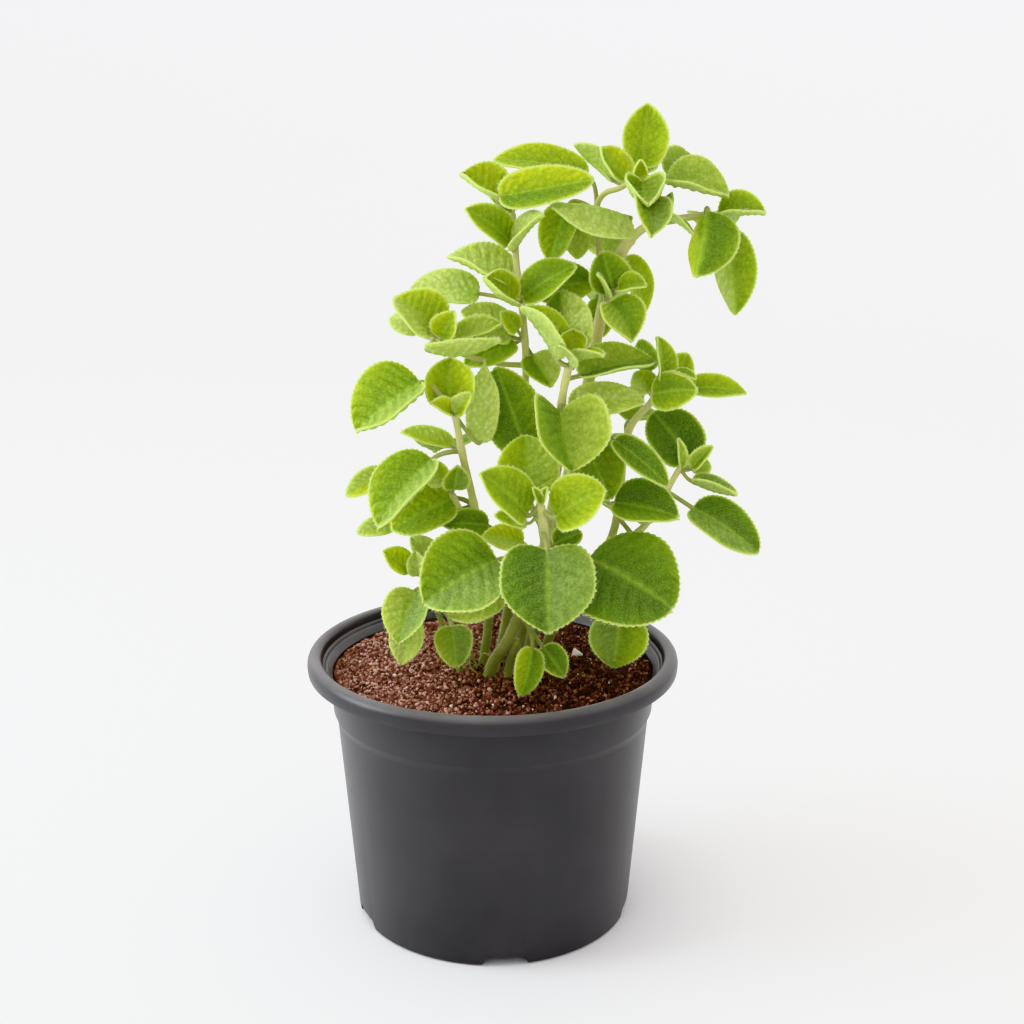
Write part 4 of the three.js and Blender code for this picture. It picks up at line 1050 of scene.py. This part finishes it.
def lay_leaf(shape, chance):
    """The points, triangles and attributes of one blade."""
    length, wide = leaf_frame(shape)[-1], shape["wide"]
    points, triangles = next(blank for least, blank in BLANKS if length > least)
    across = np.clip(points[:, 0], -1, 1)
    side = across * (1.25 - 0.25 * across ** 2)
    margin = np.abs(side) > 0.999
    rounding = np.abs(points[:, 0]) > 1.01
    turn = 0.045 + (math.pi - 0.075) * (points[:, 1] + 1) / 2
    out = np.abs(side)
    along = (1 - np.cos(turn)) / 2
    half = half_width(shape, turn)
    upper = points[:, 2] > 0

    veins = 5 if length < SHORT_LEAF else 7
    order = (along - VEIN_SLANT * out ** 1.2) * veins + 0.5
    gap = np.abs(order - np.round(order)) / veins * length * 0.8
    fade = ((1 - smooth_step(0.82, 0.97, out)) * smooth_step(0.02, 0.15, along)
            * (1 - smooth_step(0.88, 1, along)))
    cushion = np.abs(np.sin(math.pi * order)) ** 0.7
    puff = np.abs(np.sin(math.pi * (3.5 * out + 0.2 * np.sin(2 * math.pi * order)))) ** 0.7
    relief = CUSHION_HEIGHT * fade * (cushion * (0.7 + 0.3 * puff) - 0.5)
    valley = MIDRIB_DEPTH * np.exp(-(out * half / 0.9) ** 2) * smooth_step(0.02, 0.1, along)
    wave = MARGIN_WAVE * out ** 2 * np.sin(2 * math.pi * (1.4 * along + chance.random()))
    height = wide * (relief - np.where(upper, valley, valley * 2) + wave)

    middle = min(THICKEST_BLADE, 0.9 + 0.03 * wide)
    bulge = (middle - RIM_THICKNESS) * np.sqrt(np.clip(1 - out ** 4, 0, 1)) * np.sin(turn) ** 0.4
    thick = np.where(rounding, 0.3 * RIM_THICKNESS, RIM_THICKNESS + bulge)
    outward, bump = scallops(shape, turn, side)
    laid = blade_point(shape, turn, side) + outward * (bump * margin + RIM_ROUNDING * rounding)[:, None]
    laid += blade_normal(shape, turn, side) * (height + thick / 2 * np.sign(points[:, 2]))[:, None]

    to_margin = np.minimum((1 - out) * half, (1 - along) * length * 0.7)
    tone, frost_and_sheen = leaf_colour(shape, side)
    facts = {
        # The tone rises towards the margin and the tip: partly the leaf's own yellower margin, partly
        # painted shade, deeper at the foot and along the midrib.
        "tone": tone + chance.normal(0, 0.03) + 0.3 * out ** 2 + 0.12 * along - 0.18,
        "rim": np.where(rounding, 0.9, 0.75 * np.exp(-(to_margin / 0.45) ** 2)),
        "vein": 0.4 * np.exp(-(out * half / 0.6) ** 2),
        "groove_shade": 0.7 * fade * np.exp(-(gap / VEIN_WIDTH) ** 2),
        "frost_and_sheen": np.where(upper, frost_and_sheen, UNDERSIDE_FROST),
    }
    return laid, triangles, facts


# %% [markdown]
# ## Stems and stalks
#
# A stem is a tube on a smooth curve through the plan's points. Herbs of the mint family have stems
# that are square with rounded corners, and a little swollen where leaves join. A leaf stalk is a
# thinner, round tube, which bends out of the stem into the foot of the blade and runs on under it
# as the midrib.

# %% Tubes


def smooth_path(points, spacing):
    """A smooth curve through points, cut into even steps."""
    points = np.array(points, float)
    ends = np.vstack([2 * points[0] - points[1], points, 2 * points[-1] - points[-2]])
    pieces = []
    for a, b, c, d in zip(ends, ends[1:], ends[2:], ends[3:]):
        t = np.linspace(0, 1, 12, endpoint=False)[:, None]
        pieces.append(0.5 * (2 * b + (c - a) * t + (2 * a - 5 * b + 4 * c - d) * t ** 2
                             + (3 * b - a - 3 * c + d) * t ** 3))
    curve = np.vstack(pieces + [points[-1:]])
    distance = way_along(curve)
    even = np.linspace(0, distance[-1], max(4, round(distance[-1] / spacing)) + 1)
    return np.column_stack([np.interp(even, distance, curve[:, k]) for k in range(3)])


def tube(path, radii, sides, square=0.0, up=(1.0, 0.0, 0.0)):
    """A closed tube. Square flattens its four sides by that share of the radius."""
    tangents = unit(np.gradient(path, axis=0))
    points = []
    up = np.array(up, float)
    angles = 2 * math.pi * np.arange(sides) / sides
    shape = 1 - square * (0.5 + 0.5 * np.cos(4 * angles))
    for centre, tangent, radius in zip(path, tangents, radii):
        up = unit(up - tangent * (up @ tangent))
        sideways = np.cross(tangent, up)
        ring = np.outer(np.cos(angles) * shape, up) + np.outer(np.sin(angles) * shape, sideways)
        points.append(centre + radius * ring)
    points = np.vstack([path[:1], *points, path[-1:]])
    corner = np.arange(sides)
    after = (corner + 1) % sides
    triangles = [np.column_stack([np.zeros(sides, int), 1 + after, 1 + corner])]
    for ring in range(len(path) - 1):
        low = 1 + ring * sides
        high = low + sides
        triangles.append(np.column_stack([low + corner, low + after, high + after]))
        triangles.append(np.column_stack([low + corner, high + after, high + corner]))
    last = 1 + (len(path) - 1) * sides
    triangles.append(np.column_stack([last + corner, last + after, np.full(sides, last + sides)]))
    return points, np.vstack(triangles)


# %% Stems and stalks
STEM_SPACING = 2.2
STEM_SQUARE = 0.1
SWELLING = 0.16
SWELLING_REACH = 3
THICKEST_STALK = 1.2


def stem_tube(plan, whorls):
    """One stem, swollen where leaves join it."""
    path = smooth_path(plan["points"], STEM_SPACING)
    share = np.linspace(0, 1, len(path))
    radii = (plan["thick"] + (plan["thin"] - plan["thick"]) * share) / 2
    for whorl in whorls:
        away = np.linalg.norm(path - np.array(whorl["point"], float), axis=1)
        radii = radii * (1 + SWELLING * np.exp(-(away / SWELLING_REACH) ** 2))
    radii[-1] *= 0.6
    return tube(path, radii, 14, square=STEM_SQUARE)


def stalk_tube(point, shape):
    """The stalk of one leaf, from the stem into the blade, and the midrib that it runs on as."""
    foot, axis, face, _, _ = leaf_frame(shape)
    start = np.array(point, float)
    radius = min(THICKEST_STALK, 0.6 + 0.02 * shape["wide"])
    lead = foot - axis * min(0.4 * np.linalg.norm(start - foot), 5)
    t = np.linspace(0, 1, 9)[:, None]
    path = start * (1 - t) ** 2 + lead * 2 * t * (1 - t) + foot * t ** 2
    rib = np.linspace(0.25, 1.1, 6)
    ridge = blade_point(shape, rib, np.zeros(6)) - blade_normal(shape, rib, np.zeros(6)) * 0.45
    radii = np.concatenate([np.full(9, radius), radius * np.linspace(0.85, 0.3, 6)])
    return tube(np.vstack([path, ridge]), radii, 8, up=face)


# %% [markdown]
# ## Down
#
# Short clear hairs stand on the stems, the stalks and all round the margins, and give the plant its
# soft pale outline. Each is a thin three-sided spike. They are thicker and fewer than the real
# ones, which would be too fine to show.

# %% Down
HAIR_WIDTH = 0.1
MARGIN_HAIRS_PER_MM = 4.2
STEM_HAIR_SPACING = 1.0


def spikes(roots, directions, lengths):
    """Thin closed spikes as one set of arrays."""
    directions = unit(directions)
    other = np.where(np.abs(directions[:, 2:]) < 0.9, [[0.0, 0.0, 1.0]], [[1.0, 0.0, 0.0]])
    side = unit(np.cross(directions, other))
    third = np.cross(directions, side)
    corners = [roots + (math.cos(a) * side + math.sin(a) * third) * (HAIR_WIDTH / 2)
               for a in (0, 2 * math.pi / 3, 4 * math.pi / 3)]
    points = np.stack([*corners, roots + directions * lengths[:, None]], axis=1)
    form = np.array([(0, 2, 1), (0, 1, 3), (1, 2, 3), (2, 0, 3)])
    triangles = form[None] + (np.arange(len(roots)) * 4)[:, None, None]
    return points.reshape(-1, 3), triangles.reshape(-1, 3)


def stem_down(points, triangles, chance):
    """Hairs that stand on the stems, one for about each square of the spacing."""
    a, b, c = (points[triangles[:, k]] for k in range(3))
    cross = np.cross(b - a, c - a)
    area = np.linalg.norm(cross, axis=1) / 2
    count = round(area.sum() / STEM_HAIR_SPACING ** 2)
    chosen = chance.choice(len(triangles), count, p=area / area.sum())
    u, v = chance.random((2, count, 1))
    flip = u + v > 1
    u, v = np.where(flip, 1 - u, u), np.where(flip, 1 - v, v)
    roots = a[chosen] + (b[chosen] - a[chosen]) * u + (c[chosen] - a[chosen]) * v
    lean = unit(cross[chosen]) + chance.normal(0, 0.35, (count, 3))
    return spikes(roots, lean, 0.5 + 0.6 * chance.random(count))


def margin_down(shape, chance):
    """Hairs that stand out all round the margin of a blade, which is 2.4 times as long as the blade."""
    count = round(MARGIN_HAIRS_PER_MM * 2.4 * leaf_frame(shape)[-1])
    turn = 0.1 + (math.pi - 0.12) * chance.random(count)
    edge = np.where(chance.random(count) < 0.5, -1.0, 1.0)
    outward, bump = scallops(shape, turn, edge)
    roots = blade_point(shape, turn, edge) + outward * (bump + RIM_ROUNDING)[:, None]
    lean = outward + chance.normal(0, 0.5, (count, 3))
    return spikes(roots, lean, 0.5 + 0.8 * chance.random(count))


# %% [markdown]
# ## Growing the plant
#
# Each leafy stem of the plan becomes three pieces: blades, stems with their stalks, and down. All
# three stand for the one imported node. A stem's foot is darker than its top.

# %% Growing
DARKER_BELOW, PALER_ABOVE = 125, 215


def join_arrays(parts):
    """Several sets of points and triangles as one."""
    points, triangles, start = [], [], 0
    for some_points, some_triangles in parts:
        points.append(some_points)
        triangles.append(some_triangles + start)
        start += len(some_points)
    return np.vstack(points), np.vstack(triangles)


total = 0
for number, (name, plan) in enumerate(PLANTS.items()):
    chance = np.random.default_rng(100 + number)
    wood = [stem_tube(one, plan["whorls"]) for one in plan["stems"]]
    wood_tone = [0.3 * smooth_step(DARKER_BELOW, PALER_ABOVE, points[:, 2]) - 0.1 for points, _ in wood]
    blades, facts, down = [], [], []
    for whorl in plan["whorls"]:
        for shape in whorl["leaves"]:
            *blade, about = lay_leaf(shape, chance)
            blades.append(blade)
            facts.append(about)
            wood.append(stalk_tube(whorl["point"], shape))
            wood_tone.append(np.full(len(wood[-1][0]), -0.02))
            down.append(margin_down(shape, chance))
    wood_arrays = join_arrays(wood)
    down.append(stem_down(*wood_arrays, chance))
    short = name.removesuffix("_stem")
    merged = {title: np.concatenate([about[title] for about in facts]) for title in facts[0]}
    pieces = [
        mesh_object(f"{short}_blades", *join_arrays(blades), leaf_skin, merged),
        mesh_object(f"{short}_stems", *wood_arrays, stem_skin, {"tone": np.concatenate(wood_tone)}),
        mesh_object(f"{short}_down", *join_arrays(down), down_hair),
    ]
    for piece in pieces:
        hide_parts(name)
        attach(piece, "root")
    faces = [len(piece.data.polygons) for piece in pieces]
    total += sum(faces)
    print(name, "blades, stems, down:", faces)
print("plant:", total, "triangles")

# %% [markdown]
# ## Dry rootlets
#
# A tangle of dead rootlets and old stalks stands where the stems leave the coir. Each one rises from
# the coir, bends over and comes down again a centimetre on. It is a thin tube again.

# %% Rootlets
ROOTLETS = 18
ROOTLET_MIDDLE = (-5, -9)
ROOTLET_SPREAD = 6
ROOTLET_STEPS = 5
ROOTLET_STEP = 2.2
LOWEST_BEND = 1
HIGHEST_BEND = 14
chance = np.random.default_rng(8)
strands = []
for _ in range(ROOTLETS):
    x, y = (chance.normal(middle, ROOTLET_SPREAD) for middle in ROOTLET_MIDDLE)
    way = 2 * math.pi * chance.random()
    lift = LOWEST_BEND + (HIGHEST_BEND - LOWEST_BEND) * chance.random() ** 2
    points = []
    for step in range(ROOTLET_STEPS + 1):
        points.append((x, y, coir_height(x, y) + 0.4 + lift * math.sin(math.pi * step / ROOTLET_STEPS)))
        way += chance.normal(0, 0.5)
        x += ROOTLET_STEP * math.cos(way)
        y += ROOTLET_STEP * math.sin(way)
    path = smooth_path(points, 1.3)
    strands.append(tube(path, np.linspace(0.35, 0.15, len(path)) * (0.6 + 0.8 * chance.random()), 6))
strand_arrays = join_arrays(strands)
rootlets = mesh_object("dry_rootlets", *strand_arrays, stem_skin,
                       {"tone": np.full(len(strand_arrays[0]), -0.05)})
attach(rootlets, "root")
print("rootlets:", ROOTLETS)

# %% [markdown]
# ## Studio
#
# The photograph was taken in a white studio, with a large low light on the left that throws a long
# soft shadow to the right. The floor is a wide white dish, so that it has no horizon from any side.
# It is a disc whose rim is carried on, as the pot's faces are, out and up through a quarter turn.

# %% Floor
FLOOR_RADIUS = 1500
BOWL_RADIUS = 1400
BOWL_STEPS = 10
bowl_angles = [math.pi / 2 * step / BOWL_STEPS for step in range(BOWL_STEPS + 1)]
bowl = [(FLOOR_RADIUS + BOWL_RADIUS * math.sin(angle), BOWL_RADIUS * (1 - math.cos(angle)))
        for angle in bowl_angles]
floor = new_form(bpy.ops.mesh.primitive_circle_add, vertices=96, radius=FLOOR_RADIUS * MM,
                 fill_type="NGON")
floor.name = "studio_floor"
select(floor, "EDGE", lambda edge: edge.is_boundary)
carry_on(bowl, bpy.ops.mesh.extrude_edges_move)
bpy.ops.object.mode_set(mode="OBJECT")
bpy.ops.object.shade_smooth_by_angle(angle=math.radians(30))
paper = new_material("white_backdrop_paper")
place = add_node(paper, "TexCoord").outputs["Object"]
height = add_node(paper, "SeparateXYZ", {0: place}).outputs["Z"]
# The paper is painted lighter up the wall: painted light on the backdrop.
rise = add_node(paper, "MapRange", {"Value": height, "From Max": 0.6})
fade = add_node(paper, "Mix", {"Factor": rise, 6: "#efefef", 7: "#fafafc"}, data_type="RGBA")
set_shader(paper, {"Base Color": fade, "Roughness": 0.9, "Specular IOR Level": 0.1})
floor.data.materials.append(paper)

# %% Lights and sky
LAMP_PLACE = (-1.5, -0.1, 0.75)
LAMP_AIM = (0, 0, 0.18)
LAMP_SIZE = 0.9
LAMP_WATTS = 16
aim = Vector(LAMP_AIM) - Vector(LAMP_PLACE)
bpy.ops.object.light_add(type="AREA", location=LAMP_PLACE, rotation=aim.to_track_quat("-Z", "Y").to_euler())
lamp = bpy.context.active_object
lamp.name = "low_left_lamp"
lamp.data.size = LAMP_SIZE
lamp.data.energy = LAMP_WATTS
lamp.data.color = (0.84, 0.93, 1)
sky = bpy.data.worlds.new("studio_sky")
sky.use_nodes = True
place = add_node(sky, "TexCoord").outputs["Generated"]
ways = add_node(sky, "SeparateXYZ", {0: place}).outputs["X"]
glow = add_node(sky, "MapRange", {"Value": ways, "From Min": -1, "To Min": 1.8, "To Max": 0.85})
set_inputs(sky, sky.node_tree.nodes["Background"], {"Color": "#fefcfb", "Strength": glow})
bpy.context.scene.world = sky
bpy.context.scene.view_settings.view_transform = "Khronos PBR Neutral"

# %% Camera
CAMERA_PLACE = (0, -0.6558, 0.3666)
CAMERA_TILT = math.radians(74.99)
CAMERA_TURN = -0.0135
CAMERA_LENS = 53.05
bpy.ops.object.camera_add(location=CAMERA_PLACE, rotation=(CAMERA_TILT, 0, CAMERA_TURN))
camera = bpy.context.active_object
camera.data.lens = CAMERA_LENS
camera.data.sensor_width = 36
camera.data.clip_start = 0.01
bpy.context.scene.camera = camera
